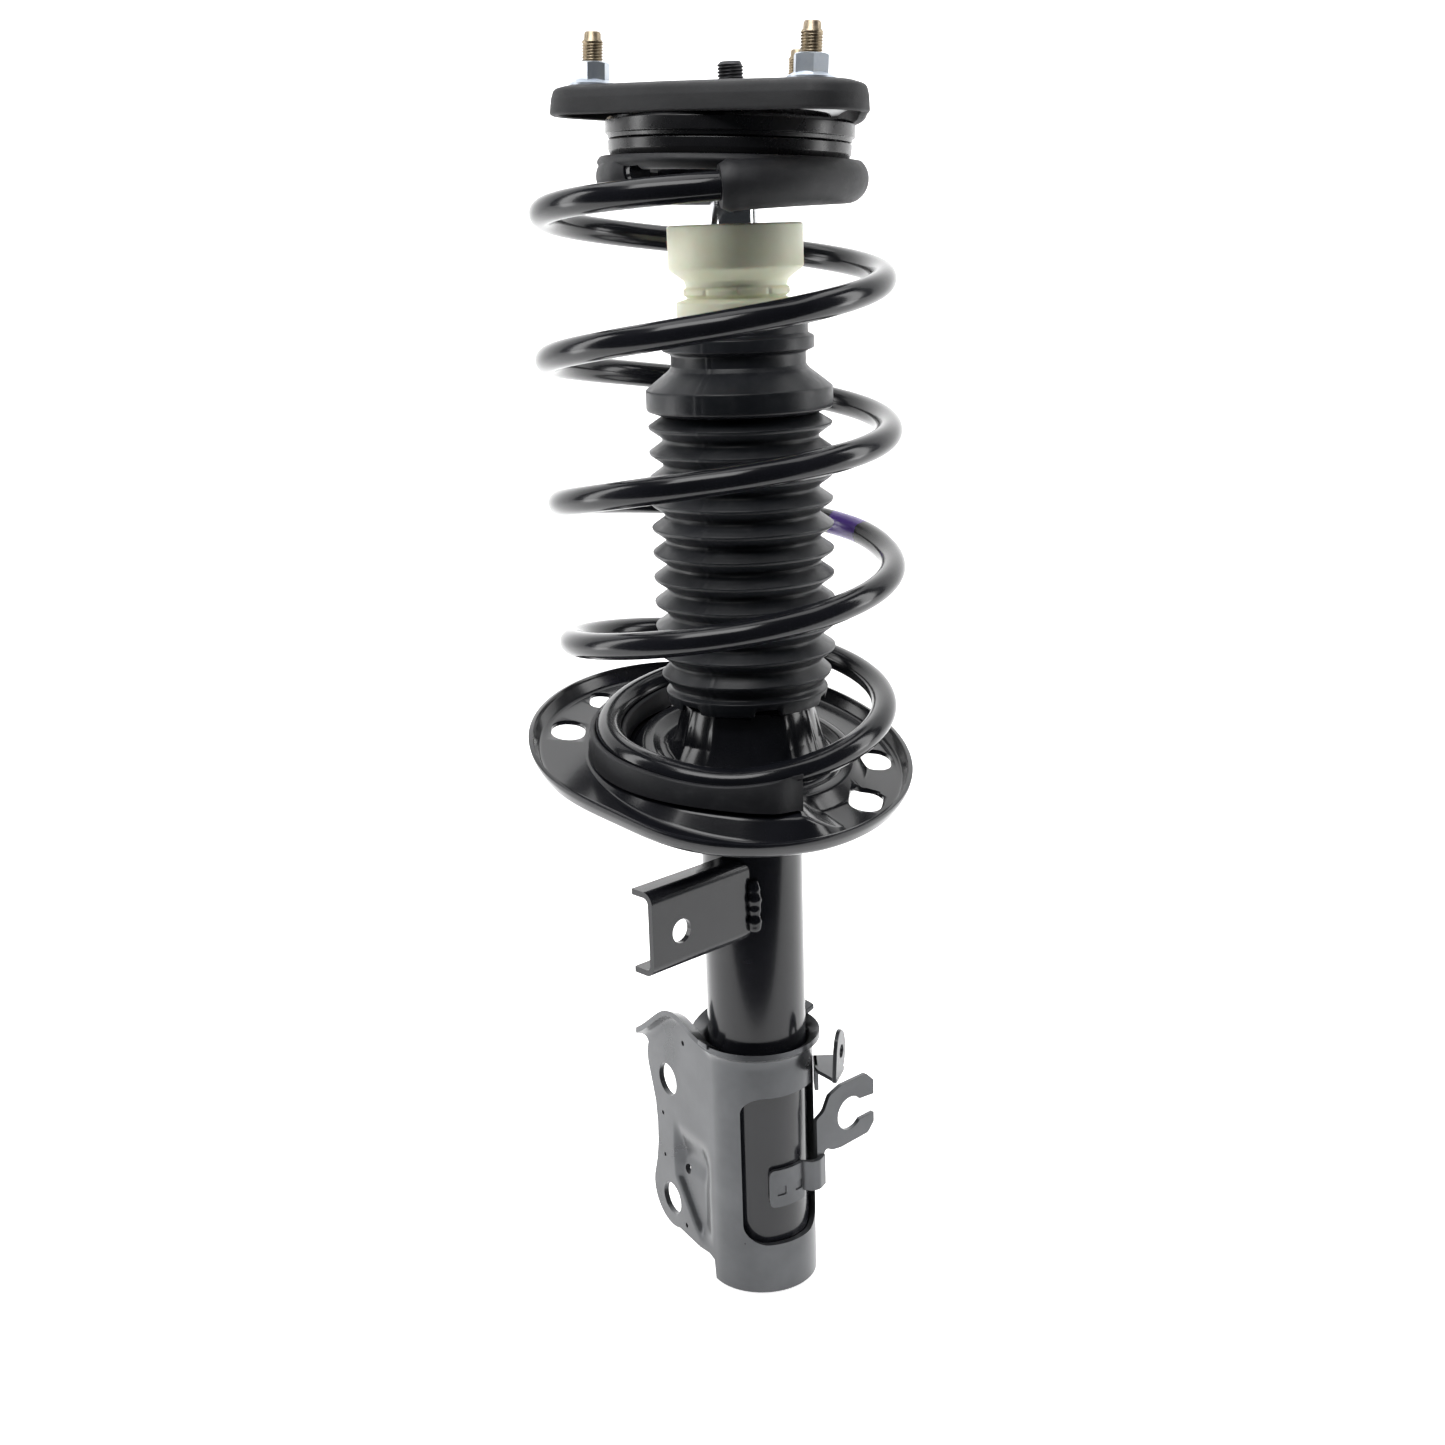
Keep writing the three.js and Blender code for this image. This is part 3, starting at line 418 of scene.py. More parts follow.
def sheet(name, surface, across, along, thickness, closed=False):
    """A sheet of even thickness: surface(u, v) is its outer face, and closed joins u = 1 to u = 0."""
    step = 1e-4
    columns = across if closed else across + 1
    outer, inner = [], []
    for j in range(along + 1):
        for i in range(columns):
            u, v = i / across, j / along
            u0, u1 = (u - step, u + step) if closed else (max(u - step, 0), min(u + step, 1))
            v0, v1 = max(v - step, 0), min(v + step, 1)
            point = surface(u, v)
            normal = (surface(u1, v) - surface(u0, v)).cross(surface(u, v1) - surface(u, v0)).normalized()
            outer.append(point)
            inner.append(point - normal * thickness)
    size = len(outer)
    faces = []

    def at(i, j):
        return j * columns + (i % columns if closed else i)

    cells = [(i, j) for j in range(along) for i in range(across)]
    for i, j in cells:
        quad = (at(i, j), at(i + 1, j), at(i + 1, j + 1), at(i, j + 1))
        faces.append(quad)
        faces.append(tuple(size + n for n in reversed(quad)))
    for i in range(across):
        for j in (0, along):
            a, b = at(i, j), at(i + 1, j)
            faces.append((b, a, size + a, size + b))
    if not closed:
        for j in range(along):
            for i in (0, across):
                a, b = at(i, j), at(i, j + 1)
                faces.append((a, b, size + b, size + a))
    return outward(new_object(name, outer + inner, faces))


# ------------------------------------------------------------------ materials
class Nodes:
    """A material's node tree, with short calls for the nodes that the finishes use."""

    def __init__(self, name):
        self.material = bpy.data.materials.new(name)
        self.material.use_nodes = True
        self.tree = self.material.node_tree
        self.shader = self.tree.nodes["Principled BSDF"]
        self.where = self.tree.nodes.new("ShaderNodeTexCoord").outputs["Object"]

    def link(self, source, target):
        self.tree.links.new(source, target)

    def set(self, values):
        for name, value in values.items():
            self.shader.inputs[name].default_value = value

    def stretched(self, x, y, z):
        node = self.tree.nodes.new("ShaderNodeMapping")
        node.inputs["Scale"].default_value = (x, y, z)
        self.link(self.where, node.inputs["Vector"])
        return node.outputs["Vector"]

    def noise(self, scale, detail=3.0, roughness=0.5, where=None):
        node = self.tree.nodes.new("ShaderNodeTexNoise")
        node.inputs["Scale"].default_value = scale
        node.inputs["Detail"].default_value = detail
        node.inputs["Roughness"].default_value = roughness
        self.link(where or self.where, node.inputs["Vector"])
        return node.outputs["Fac"]

    def cells(self, scale):
        node = self.tree.nodes.new("ShaderNodeTexVoronoi")
        node.inputs["Scale"].default_value = scale
        self.link(self.where, node.inputs["Vector"])
        return node.outputs["Distance"]

    def ramp(self, source, stops):
        node = self.tree.nodes.new("ShaderNodeValToRGB")
        elements = node.color_ramp.elements
        while len(elements) < len(stops):
            elements.new(0.5)
        for element, (position, colour) in zip(elements, stops):
            element.position = position
            element.color = (*colour, 1)
        self.link(source, node.inputs["Fac"])
        return node.outputs["Color"]

    def range(self, source, lowest, highest, start=0.0, end=1.0):
        node = self.tree.nodes.new("ShaderNodeMapRange")
        node.inputs["From Min"].default_value = start
        node.inputs["From Max"].default_value = end
        node.inputs["To Min"].default_value = lowest
        node.inputs["To Max"].default_value = highest
        self.link(source, node.inputs["Value"])
        return node.outputs["Result"]

    def math(self, operation, a, b):
        node = self.tree.nodes.new("ShaderNodeMath")
        node.operation = operation
        for socket, value in zip(node.inputs, (a, b)):
            if isinstance(value, (int, float)):
                socket.default_value = value
            else:
                self.link(value, socket)
        return node.outputs["Value"]

    def blend(self, share, a, b):
        node = self.tree.nodes.new("ShaderNodeMix")
        node.data_type = "RGBA"
        colours = [socket for socket in node.inputs if socket.type == "RGBA"]
        for socket, value in zip(colours, (a, b)):
            if isinstance(value, tuple):
                socket.default_value = (*value, 1)
            else:
                self.link(value, socket)
        self.link(share, node.inputs["Factor"])
        return next(socket for socket in node.outputs if socket.type == "RGBA")

    def attribute(self, name):
        node = self.tree.nodes.new("ShaderNodeAttribute")
        node.attribute_name = name
        return node.outputs["Fac"]

    def bump(self, height, strength, distance=0.1):
        node = self.tree.nodes.new("ShaderNodeBump")
        node.inputs["Strength"].default_value = strength
        node.inputs["Distance"].default_value = distance * MM
        self.link(height, node.inputs["Height"])
        self.link(node.outputs["Normal"], self.shader.inputs["Normal"])

    def colour(self, source):
        self.link(source, self.shader.inputs["Base Color"])

    def roughness(self, source):
        self.link(source, self.shader.inputs["Roughness"])


def paint(name, dark, light, gloss, spread=0.08):
    """Electro-coat: a thin, slightly uneven black film, with orange peel and a little dust."""
    nodes = Nodes(name)
    flow = nodes.noise(35, 4)
    dust = nodes.noise(900, 6, 0.75)
    film = nodes.ramp(flow, [(0.3, dark), (0.75, light)])
    specks = nodes.range(dust, 0, 1, 0.68, 0.8)
    nodes.colour(nodes.blend(specks, film, tuple(channel + 0.045 for channel in light)))
    patchy = nodes.range(flow, gloss, gloss + spread)
    nodes.roughness(nodes.math("ADD", patchy, nodes.math("MULTIPLY", specks, 0.12)))
    peel = nodes.math("ADD", nodes.noise(260, 2), nodes.math("MULTIPLY", nodes.noise(1500, 2), 0.25))
    nodes.bump(peel, 0.12, 0.12)
    nodes.set({"Specular IOR Level": 0.36, "Coat Weight": 0.12, "Coat Roughness": 0.08})
    return nodes


def bracket_paint():
    nodes = paint("bracket_paint", (0.062, 0.064, 0.068), (0.095, 0.098, 0.103), 0.24, 0.1)
    nodes.set({"Metallic": 0.6})
    return nodes.material


def spring_paint():
    """The spring's black coat, with a purple band brushed on where the mesh marks it."""
    nodes = paint("spring_paint", (0.0055, 0.006, 0.008), (0.011, 0.0115, 0.015), 0.14)
    coat = nodes.shader.inputs["Base Color"].links[0].from_socket
    ragged = nodes.math("ADD", nodes.attribute("marked"), nodes.range(nodes.noise(320, 4), -0.45, 0.45))
    mark = nodes.range(ragged, 0, 1, 0.42, 0.58)
    nodes.colour(nodes.blend(mark, coat, (0.1, 0.045, 0.3)))
    return nodes.material


def moulded_rubber(name, dark, light, roughness, grain):
    """Moulded rubber: matte, with flow marks, a faint bloom and a fine grain."""
    nodes = Nodes(name)
    flow = nodes.noise(28, 5, 0.6, nodes.stretched(1, 1, 3.5))
    bloom = nodes.noise(140, 6, 0.7)
    body = nodes.ramp(flow, [(0.3, dark), (0.8, light)])
    haze = nodes.range(bloom, 0, 0.35, 0.5, 0.85)
    nodes.colour(nodes.blend(haze, body, tuple(channel + 0.03 for channel in light)))
    nodes.roughness(nodes.range(bloom, roughness - 0.08, roughness + 0.08, 0.3, 0.7))
    nodes.bump(nodes.math("ADD", nodes.noise(2200, 3), nodes.math("MULTIPLY", flow, 0.6)), grain, 0.12)
    nodes.set({"Specular IOR Level": 0.4})
    return nodes.material


def black_plastic():
    """Glass-filled nylon: semi-gloss, with a faint grain and sink marks."""
    nodes = Nodes("black_plastic")
    sink = nodes.noise(22, 2)
    nodes.colour(nodes.ramp(sink, [(0.3, (0.008, 0.008, 0.009)), (0.8, (0.015, 0.015, 0.017))]))
    nodes.roughness(nodes.range(nodes.noise(180, 4), 0.2, 0.36))
    nodes.bump(nodes.math("ADD", nodes.noise(2600, 3), nodes.math("MULTIPLY", sink, 2.0)), 0.16, 0.1)
    nodes.set({"Specular IOR Level": 0.5})
    return nodes.material


def cream_foam():
    """Cellular polyurethane: a satin skin over fine cells, with faint milky clouds."""
    nodes = Nodes("cream_foam")
    clouds = nodes.noise(40, 5, 0.65)
    nodes.colour(nodes.ramp(clouds, [(0.25, (0.84, 0.84, 0.62)), (0.75, (0.93, 0.94, 0.76))]))
    nodes.roughness(nodes.range(nodes.noise(300, 4), 0.36, 0.52))
    pores = nodes.range(nodes.cells(1600), 0, 1, 0.0, 0.35)
    nodes.bump(nodes.math("ADD", pores, nodes.math("MULTIPLY", clouds, 2.0)), 0.18, 0.12)
    nodes.set({"Subsurface Weight": 0.25, "Subsurface Scale": 0.004, "Specular IOR Level": 0.45})
    return nodes.material


def chrome():
    """Hard chrome with the fine rings of its grinding."""
    nodes = Nodes("chrome")
    rings = nodes.noise(60, 4, 0.7, nodes.stretched(1, 1, 60))
    nodes.colour(nodes.ramp(rings, [(0.3, (0.58, 0.59, 0.6)), (0.7, (0.72, 0.73, 0.74))]))
    nodes.roughness(nodes.range(rings, 0.05, 0.14))
    nodes.bump(rings, 0.05, 0.05)
    nodes.set({"Metallic": 1.0})
    return nodes.material


def plated(name, stops, roughness):
    """Zinc plate: hues that drift over the surface, a cloudy gloss and small scratches."""
    nodes = Nodes(name)
    drift = nodes.noise(150, 4, 0.6)
    nodes.colour(nodes.ramp(drift, stops))
    scratches = nodes.noise(300, 5, 0.7, nodes.stretched(1, 1, 12))
    nodes.roughness(nodes.range(scratches, roughness - 0.08, roughness + 0.14))
    nodes.bump(nodes.math("ADD", nodes.noise(1800, 3), scratches), 0.14, 0.06)
    nodes.set({"Metallic": 1.0})
    return nodes.material


FINISH = {
    "black_paint": paint("black_paint", (0.0055, 0.006, 0.008), (0.012, 0.0125, 0.016), 0.14).material,
    "bracket_paint": bracket_paint(),
    "spring_paint": spring_paint(),
    "rubber": moulded_rubber("mount_rubber", (0.013, 0.0132, 0.0145), (0.026, 0.0265, 0.029), 0.62, 0.6),
    "sleeve_rubber": moulded_rubber(
        "sleeve_rubber", (0.012, 0.0123, 0.0145), (0.023, 0.0235, 0.027), 0.55, 0.5),
    "boot_rubber": moulded_rubber("boot_rubber", (0.009, 0.0105, 0.0135), (0.017, 0.0185, 0.023), 0.4, 0.25),
    "black_plastic": black_plastic(),
    "cream_foam": cream_foam(),
    "chrome": chrome(),
    "yellow_zinc": plated("yellow_zinc", [
        (0.25, (0.3, 0.24, 0.17)), (0.5, (0.4, 0.33, 0.23)), (0.8, (0.44, 0.35, 0.29)),
    ], 0.36),
    "white_zinc": plated("white_zinc", [
        (0.25, (0.5, 0.55, 0.63)), (0.55, (0.62, 0.67, 0.73)), (0.8, (0.68, 0.7, 0.72)),
    ], 0.42),
    "bare_steel": plated("bare_steel", [(0.3, (0.26, 0.265, 0.27)), (0.7, (0.4, 0.405, 0.41))], 0.38),
    "dark_phosphate": plated("dark_phosphate", [(0.3, (0.05, 0.05, 0.052)), (0.7, (0.1, 0.1, 0.105))], 0.45),
}


def finish(obj, material, body, *nodes, smooth=35, flats=False):
    """Gives a piece its material, puts it on its body, and lets it stand for CAD nodes."""
    shade(obj, smooth)
    if flats:
        weigh_normals(obj)
    obj.data.materials.clear()
    obj.data.materials.append(FINISH[material])
    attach(obj, body)
    if nodes:
        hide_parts(*nodes)


# ------------------------------------------------------------------ damper tube and rod
def damper_tube():
    bottom = low("strut_tube").z
    top = high("strut_tube").z
    profile = rounded([
        (TUBE_R - 2.4, bottom, 0), (TUBE_R, bottom, 0.6), (TUBE_R, top, 0.8), (TUBE_R - 2.4, top, 0),
    ], 3)
    finish(turned("damper_tube", profile), "black_paint", "strut_body", "strut_tube")
    cap = rounded([
        (0, 0, 0), (16, 0, 4), (22, 1.5, 3), (TUBE_R, 6, 1), (21, 6, 0.5), (15, 3, 2), (0, 3, 0),
    ])
    finish(turned("damper_base", cap, 96), "black_paint", "strut_body", "base_cap")


def thread_surface(radius, pitch, bottom, top, depth, lead):
    """A shape function for turned(): a helical thread between two heights, fading at both ends."""

    def shape(r, z, turn):
        if r < radius - depth - 0.01 or not bottom <= z <= top:
            return r, z
        phase = (z / pitch - turn / (2 * math.pi)) % 1
        groove = abs(phase * 2 - 1)
        fade = clamp((z - bottom) / pitch) * clamp((top - z) / lead)
        return r - depth * ease(groove * 1.25 - 0.12) * fade, z

    return shape


def threaded_profile(radius, bottom, top, pitch):
    """The outside of a threaded stretch, fine enough for its crests."""
    count = max(2, round((top - bottom) / pitch * 7))
    return [(radius, mix(bottom, top, k / count)) for k in range(count + 1)]


def piston_rod():
    thread_start = 594.0
    tail = low("piston_rod").z
    step = 292.3
    neck = 6.0
    shoulder = 577.0
    profile = [(0, tail), (neck, tail), (neck, step), (ROD_R, step), (ROD_R, shoulder), (neck, shoulder + 1)]
    profile += threaded_profile(neck, thread_start, ROD_TIP - 1.4, 1.5)
    profile += [(neck - 1.3, ROD_TIP), (3.4, ROD_TIP), (2.9, ROD_TIP - 1), (0, ROD_TIP - 1)]
    shape = thread_surface(neck, 1.5, thread_start, ROD_TIP, 0.75, 1.5)
    rod = turned("piston_rod_ground", profile, 96, shape)
    finish(rod, "chrome", "rod", "piston_rod")
    rod.data.materials.append(FINISH["dark_phosphate"])
    for face in rod.data.polygons:
        if face.center.z > (shoulder + 0.5) * MM:
            face.material_index = 1


# ------------------------------------------------------------------ bump stop
def bump_stop():
    bottom = low("bump_stop").z
    bore = ROD_R + 0.6
    bead = 513.8
    profile = rounded([
        (bore, bottom, 1), (19, bottom, 2), (24.5, bottom + 7, 4), (20.5, bottom + 14, 3),
        (27, bottom + 22, 4), (28.5, bottom + 30, 3), (28.5, 509.4, 1.2), (23.4, 510.8, 0.8),
        (23.4, bead - 2.2, 0.5), (25.1, bead - 1.2, 0.9), (25.1, bead + 1.2, 0.9), (23.6, bead + 2.2, 0.6),
        (24.6, 519, 2), (BUMP_R, 524.2, 2.2), (BUMP_R, BUMP_TOP, 1.1), (bore + 3, BUMP_TOP, 1),
        (bore, BUMP_TOP - 3, 1),
    ])

    def notches(radius, height, turn):
        if abs(height - bead) < 1.9 and radius > 24:
            across = (math.degrees(turn) / 36) % 1 - 0.5
            radius -= 0.7 * bump(across, 0, 0.06)
        return radius, height

    finish(turned("bump_stop_moulded", profile, 288, notches), "cream_foam", "bump_stop", "bump_stop")


# ------------------------------------------------------------------ dust boot
BELLOWS_TOP = 457.5
SEAM_TURN = 243.0


def boot_seam(radius, height, turn):
    """The mould's parting line: a thin raised rib with a groove on each side."""
    off = angle_off(turn, SEAM_TURN)
    return radius + 0.35 * bump(off, 0, 0.9) - 0.2 * bump(abs(off), 2.2, 0.9), height


def bellows():
    """The folded stretch of the boot, down to the clip that grips the seat's bell."""
    crests = 11
    valley = BOOT_R - 8.2
    crest = BOOT_R - 0.4
    wall = 1.8
    first_inset = 2.2  # the lowest fold is a little smaller than the others
    first = BOOT_BOTTOM + 11
    pitch = (BELLOWS_TOP - 5.5 - first) / (crests - 1)
    corners = [(29, BOOT_BOTTOM + 2, 0.5), (36.6, BOOT_BOTTOM + 2, 0.5), (36.6, BOOT_BOTTOM - 3.5, 0.4),
               (38.4, BOOT_BOTTOM - 3.5, 0.6), (40, BOOT_BOTTOM + 3, 0.8)]
    for k in range(crests):
        middle = first + k * pitch
        size = crest - (first_inset if k == 0 else 0)
        corners += [
            (valley, middle - pitch / 2, 1.6), (size - 0.6, middle - 1.0, 0.9), (size, middle + 0.5, 0.7),
        ]
    corners += [(valley, BELLOWS_TOP, 1.0), (valley - wall, BELLOWS_TOP, 0)]
    for k in reversed(range(crests)):
        middle = first + k * pitch
        inside = crest - 2.6 - (first_inset if k == 0 else 0)
        corners += [(inside, middle, 0.8), (valley - wall, middle - pitch / 2, 1.2)]
    corners += [(29, BOOT_BOTTOM + 7, 0.5)]

    def shape(radius, height, turn):
        radius, height = boot_seam(radius, height, turn)
        if height < BOOT_BOTTOM + 0.5:
            tooth = abs((math.degrees(turn) / 60 + 0.28) % 1 - 0.5)
            height += 3 * ease((tooth - 0.34) * 40)
        return radius, height

    piece = turned("boot_bellows", rounded(corners, 3), 216, shape)
    finish(piece, "boot_rubber", "strut_body", "dust_boot", smooth=50)
    length = (BELLOWS_TOP - BOOT_BOTTOM) * MM
    1 - travel_of("bump_stop_slide") / length
    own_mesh(piece)


def boot_collar():
    """The boot's stiff upper end, which grips the bump stop and goes down with it."""
    bore = 29.2
    corners = [
        (bore, BOOT_TOP, 0.6), (bore, 481, 2), (BOOT_R - 3, 470, 2), (BOOT_R - 3, 459.5, 1.5),
        (36, BELLOWS_TOP, 0.5), (38, BELLOWS_TOP, 0.5), (BOOT_R - 0.2, 459.6, 2.4), (BOOT_R, 461.5, 1),
        (BOOT_R, 469.3, 1.6), (33.4, 478, 3), (32, 480, 1), (32, 485.6, 1.6), (36, 487.2, 0.9),
        (36, 492.8, 0.9), (33.2, 494.2, 1), (33.2, BOOT_TOP, 0.9),
    ]
    piece = turned("boot_collar", rounded(corners), 216, boot_seam)
    finish(piece, "boot_rubber", "bump_stop", smooth=50)


# ------------------------------------------------------------------ coil spring
def coil_point(angle):
    turn = math.radians(angle)
    radius = follow(COIL_STATIONS, angle, 2)
    x = follow(COIL_STATIONS, angle, 3) + radius * math.cos(turn)
    return Vector((x, radius * math.sin(turn), follow(COIL_STATIONS, angle, 1)))


def along_wire(name, section, start, end, steps, sides):
    """A bar along the wire's middle line. section(place, angle) gives its radius in the direction
    that starts outwards from the Z axis and turns upwards. Both ends are flat."""
    rings = []
    for k in range(steps + 1):
        place_on = mix(start, end, k / steps)
        point = coil_point(place_on)
        ahead = (coil_point(place_on + 0.5) - coil_point(place_on - 0.5)).normalized()
        side = ahead.cross(Vector((0, 0, 1))).normalized()
        up = side.cross(ahead)
        ring = []
        for n in range(sides):
            angle = 2 * math.pi * n / sides
            radius = section(place_on, angle)
            ring.append(point + side * radius * math.cos(angle) + up * radius * math.sin(angle))
        rings.append(ring)
    return ringed(name, rings)


def wire_length(name, start, end):
    """A stretch of the wire, with a purple mark where the paint shader is to brush its band."""
    steps = round((end - start) / 4)
    sides = 32

    def section(place_on, angle):
        chamfer = min(place_on - WIRE_START, WIRE_END - place_on)
        return WIRE_R - 0.5 * (1 - ease(chamfer / 0.6))

    wire = along_wire(name, section, start, end, steps, sides)
    marked = wire.data.attributes.new("marked", "FLOAT", "POINT")
    for n, value in enumerate(marked.data):
        place_on = mix(start, end, n // sides / steps)
        value.value = ease((MARK_HALF - abs(place_on - MARK_MIDDLE)) / 4 + 0.5)
    return wire


def coil_spring():
    """The free coils and the end coil, which goes down with its rubber."""
    free_end = SLEEVE_START + 2
    free_coils = wire_length("coil_spring_wire", WIRE_START, free_end)
    finish(free_coils, "spring_paint", "strut_body", "coil_spring", smooth=50)
    fixed = joint_named("jounce")["deforming_nodes"][0]["fixed_end_z_m"]
    reach = follow(COIL_STATIONS, free_end, 1) * MM - fixed
    kept_share = 1 - travel_of("jounce") / reach
    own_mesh(free_coils)
    end_coil = wire_length("coil_spring_end", free_end + 1, WIRE_END)
    finish(end_coil, "spring_paint", "spring_top", smooth=50)


# ------------------------------------------------------------------ lower spring seat and its rubber
def seat_plane(x, y):
    return SEAT_Z + SEAT_SLOPE_X * x + SEAT_SLOPE_Y * y


def seat_rim(turn):
    """Distance from the damper axis to the rim: a circle about the seat's own centre, flattened at
    the front left."""
    cx, cy = SEAT_CENTRE
    along = cx * math.cos(turn) + cy * math.sin(turn)
    circle = along + math.sqrt(SEAT_RIM_R ** 2 - (cx * cx + cy * cy - along * along))
    return circle - 5 * bump(angle_off(turn, 228), 0, 17)


def coil_step(turn):
    """How far the seat's floor is raised under the first coil: it climbs slowly, then drops."""
    angle = math.degrees(turn) % 360
    return STEP_HEIGHT * ease((angle - STEP_FROM) / 84) * ease((STEP_TO - angle) / 20)


def seat_section(turn):
    """The upper face of the seat from the bell's top to the rim, as (radius, height, fillet)."""
    rim = seat_rim(turn)
    floor = -SEAT_LIP
    step = floor + coil_step(turn)
    ribs = 0.8 * max(0.0, math.cos(12 * turn)) ** 3

    def on_plane(radius, above, fillet):
        x, y = radius * math.cos(turn), radius * math.sin(turn)
        return radius, above + seat_plane(x, y), fillet

    return [
        (TUBE_R + 0.8, 318, 0), (31, 318, 3.2), (33.6 + ribs, 308, 8), (36 + ribs, 299, 8),
        on_plane(42, floor + 3, 5), on_plane(48, floor + 6.5, 4), on_plane(53, floor + 6.5, 4),
        on_plane(59, step, 4), on_plane(min(77, rim - 12), step, 4.5), on_plane(min(82, rim - 7), floor, 4),
        on_plane(rim - 3.2, floor - 0.4, 3.2), on_plane(rim - 0.4, -2, 3), on_plane(rim, 0, 0),
    ]


def along_polyline(points, share):
    """The point at a share of an open polyline's corner count."""
    place_on = share * (len(points) - 1)
    k = min(int(place_on), len(points) - 2)
    t = place_on - k
    return mix(points[k][0], points[k + 1][0], t), mix(points[k][1], points[k + 1][1], t)


SEAT_STEPS = 4
SEAT_COLUMNS = 240


@functools.lru_cache(maxsize=None)
def seat_outline(turn):
    return rounded_open(seat_section(turn), SEAT_STEPS)


def seat_surface(u, v):
    turn = 2 * math.pi * u
    radius, height = along_polyline(seat_outline(turn), 1 - v)
    return around(turn, radius, height)


def slot_outline(half_length, half_width):
    corner = min(half_length, half_width) - 0.6
    return rounded([
        (half_length, half_width, corner), (-half_length, half_width, corner),
        (-half_length, -half_width, corner), (half_length, -half_width, corner),
    ], 8)


def lower_seat():
    rows = len(seat_outline(0.0)) - 1
    bowl = sheet("spring_seat_pressed", seat_surface, SEAT_COLUMNS, rows, 2.2, closed=True)
    # [centre x, centre y, half length, half width, turn in degrees]
    holes = [(-91, 14, 8.5, 10.5, 0), (-76, 50, 6, 9, 0), (63.5, 8, 8, 10.5, 0), (55.5, -33.5, 8, 11, -12)]
    for x, y, half_length, half_width, turn in holes:
        tool = prism("hole", slot_outline(half_length, half_width), 200, 340)
        spin = Matrix.Translation((x, y, 0)) @ Matrix.Rotation(math.radians(turn), 4, "Z")
        boolean(bowl, place(tool, spin))
    bevel(bowl, 0.35, 50)
    finish(bowl, "black_paint", "strut_body", "lower_spring_seat", smooth=40)
    top = high("seat_collar").z
    bore = TUBE_R + 0.1
    collar = rounded([
        (bore, top - 12, 0.4), (TUBE_R + 3, top - 12, 1.2), (TUBE_R + 3.2, top - 5, 3),
        (TUBE_R + 6.5, top + 0.5, 1), (bore, top + 0.5, 0),
    ])
    finish(turned("seat_collar_weld", collar, 96), "black_paint", "strut_body", "seat_collar")


def lower_insulator():
    """The rubber under the first coil, a trough that follows the wire, thicker towards the front."""
    start, end = 126.0, 290.0
    steps = 70
    rings = []
    for i in range(steps + 1):
        angle = mix(start, end, i / steps)
        turn = math.radians(angle)
        wire = coil_point(angle)
        centre = Vector((follow(COIL_STATIONS, angle, 3), 0, 0))
        mean = follow(COIL_STATIONS, angle, 2)
        taper = 0.55 + 0.45 * ease(min(i, steps - i) / 5)
        section = rounded([
            (-8.6 * taper, -1.5, 1.2), (-6.6, -1.2, 0.6), (-4.9, -4.5, 3), (0, -WIRE_R - 0.3, 5),
            (4.9, -4.5, 3), (6.8, 0.2, 0.8), (9.2 * taper, 0.4, 1.4), (10.5 * taper, -9.5, 1.5),
            (-9.5 * taper, -9.5, 1.5),
        ], 3)
        floor = seat_plane(wire.x, wire.y) - SEAT_LIP + coil_step(turn)
        ring = []
        for across, above in section:
            spot = centre + around(turn) * (mean + across)
            height = wire.z + above
            if above < -8:
                height = min(height, floor + 0.4)
            ring.append((spot.x, spot.y, height))
        rings.append(ring)
    piece = ringed("lower_insulator_moulded", rings)
    finish(piece, "sleeve_rubber", "strut_body", "lower_insulator", smooth=45)


# ------------------------------------------------------------------ top mount
def mount_outline(inset):
    """The hull of three round corners at the studs, with gently bowed sides."""
    steps, side_steps = 12, 8
    corners = [(x + 3, y * 1.02) for x, y in STUDS.values()]
    ordered = [corners[1], corners[2], corners[0]]
    radius = MOUNT_CORNER_R - inset
    outline = []
    for k, (x, y) in enumerate(ordered):
        before = ordered[k - 1]
        after = ordered[(k + 1) % 3]
        start = math.atan2(y - before[1], x - before[0]) - math.pi / 2
        end = math.atan2(after[1] - y, after[0] - x) - math.pi / 2
        while end < start:
            end += 2 * math.pi
        for step in range(steps + 1):
            turn = mix(start, end, step / steps)
            outline.append((x + radius * math.cos(turn), y + radius * math.sin(turn)))
        exit_point = Vector(outline[-1])
        entry = Vector(after) + (exit_point - Vector((x, y)))
        for step in range(1, side_steps):
            t = step / side_steps
            bow = 2.5 * math.sin(math.pi * t) ** 2
            normal = (exit_point - Vector((x, y))).normalized()
            outline.append(tuple(exit_point.lerp(entry, t) + normal * bow))
    return outline


def mount_cover():
    """The rubber over the mount's plate, rounded at its upper edge, with a turned-down skirt."""
    # [inset from the outline, height]
    edge = rounded([
        (30, 0.0, 0), (7, 0.0, 6), (1.2, -1.6, 3.2), (0, -6, 3), (-0.6, -12.5, 1.2), (1.0, -13.2, 0.9),
        (3.6, -12.8, 0.9), (4.3, -6, 1.5), (4.3, -3, 0), (30, -3, 0),
    ], 5)
    rings = []
    for inset, height in edge:
        if inset < 29.5:
            outline = mount_outline(inset)
        else:
            outline = round_to(mount_outline(0), 24.4)
        rings.append([(x, y, height) for x, y in outline])
    cover = ringed("mount_cover", rings, closed=True)
    for x, y in STUDS.values():
        drill(cover, x, y, 11.5, 24, -8, 8)
    place(cover, MOUNT_FRAME)
    finish(cover, "rubber", "top_mount", "mount_rubber", smooth=45)


def round_to(outline, radius):
    """The points of an outline drawn in to a circle about the axis."""
    return [tuple(Vector(point).normalized() * radius) for point in outline]


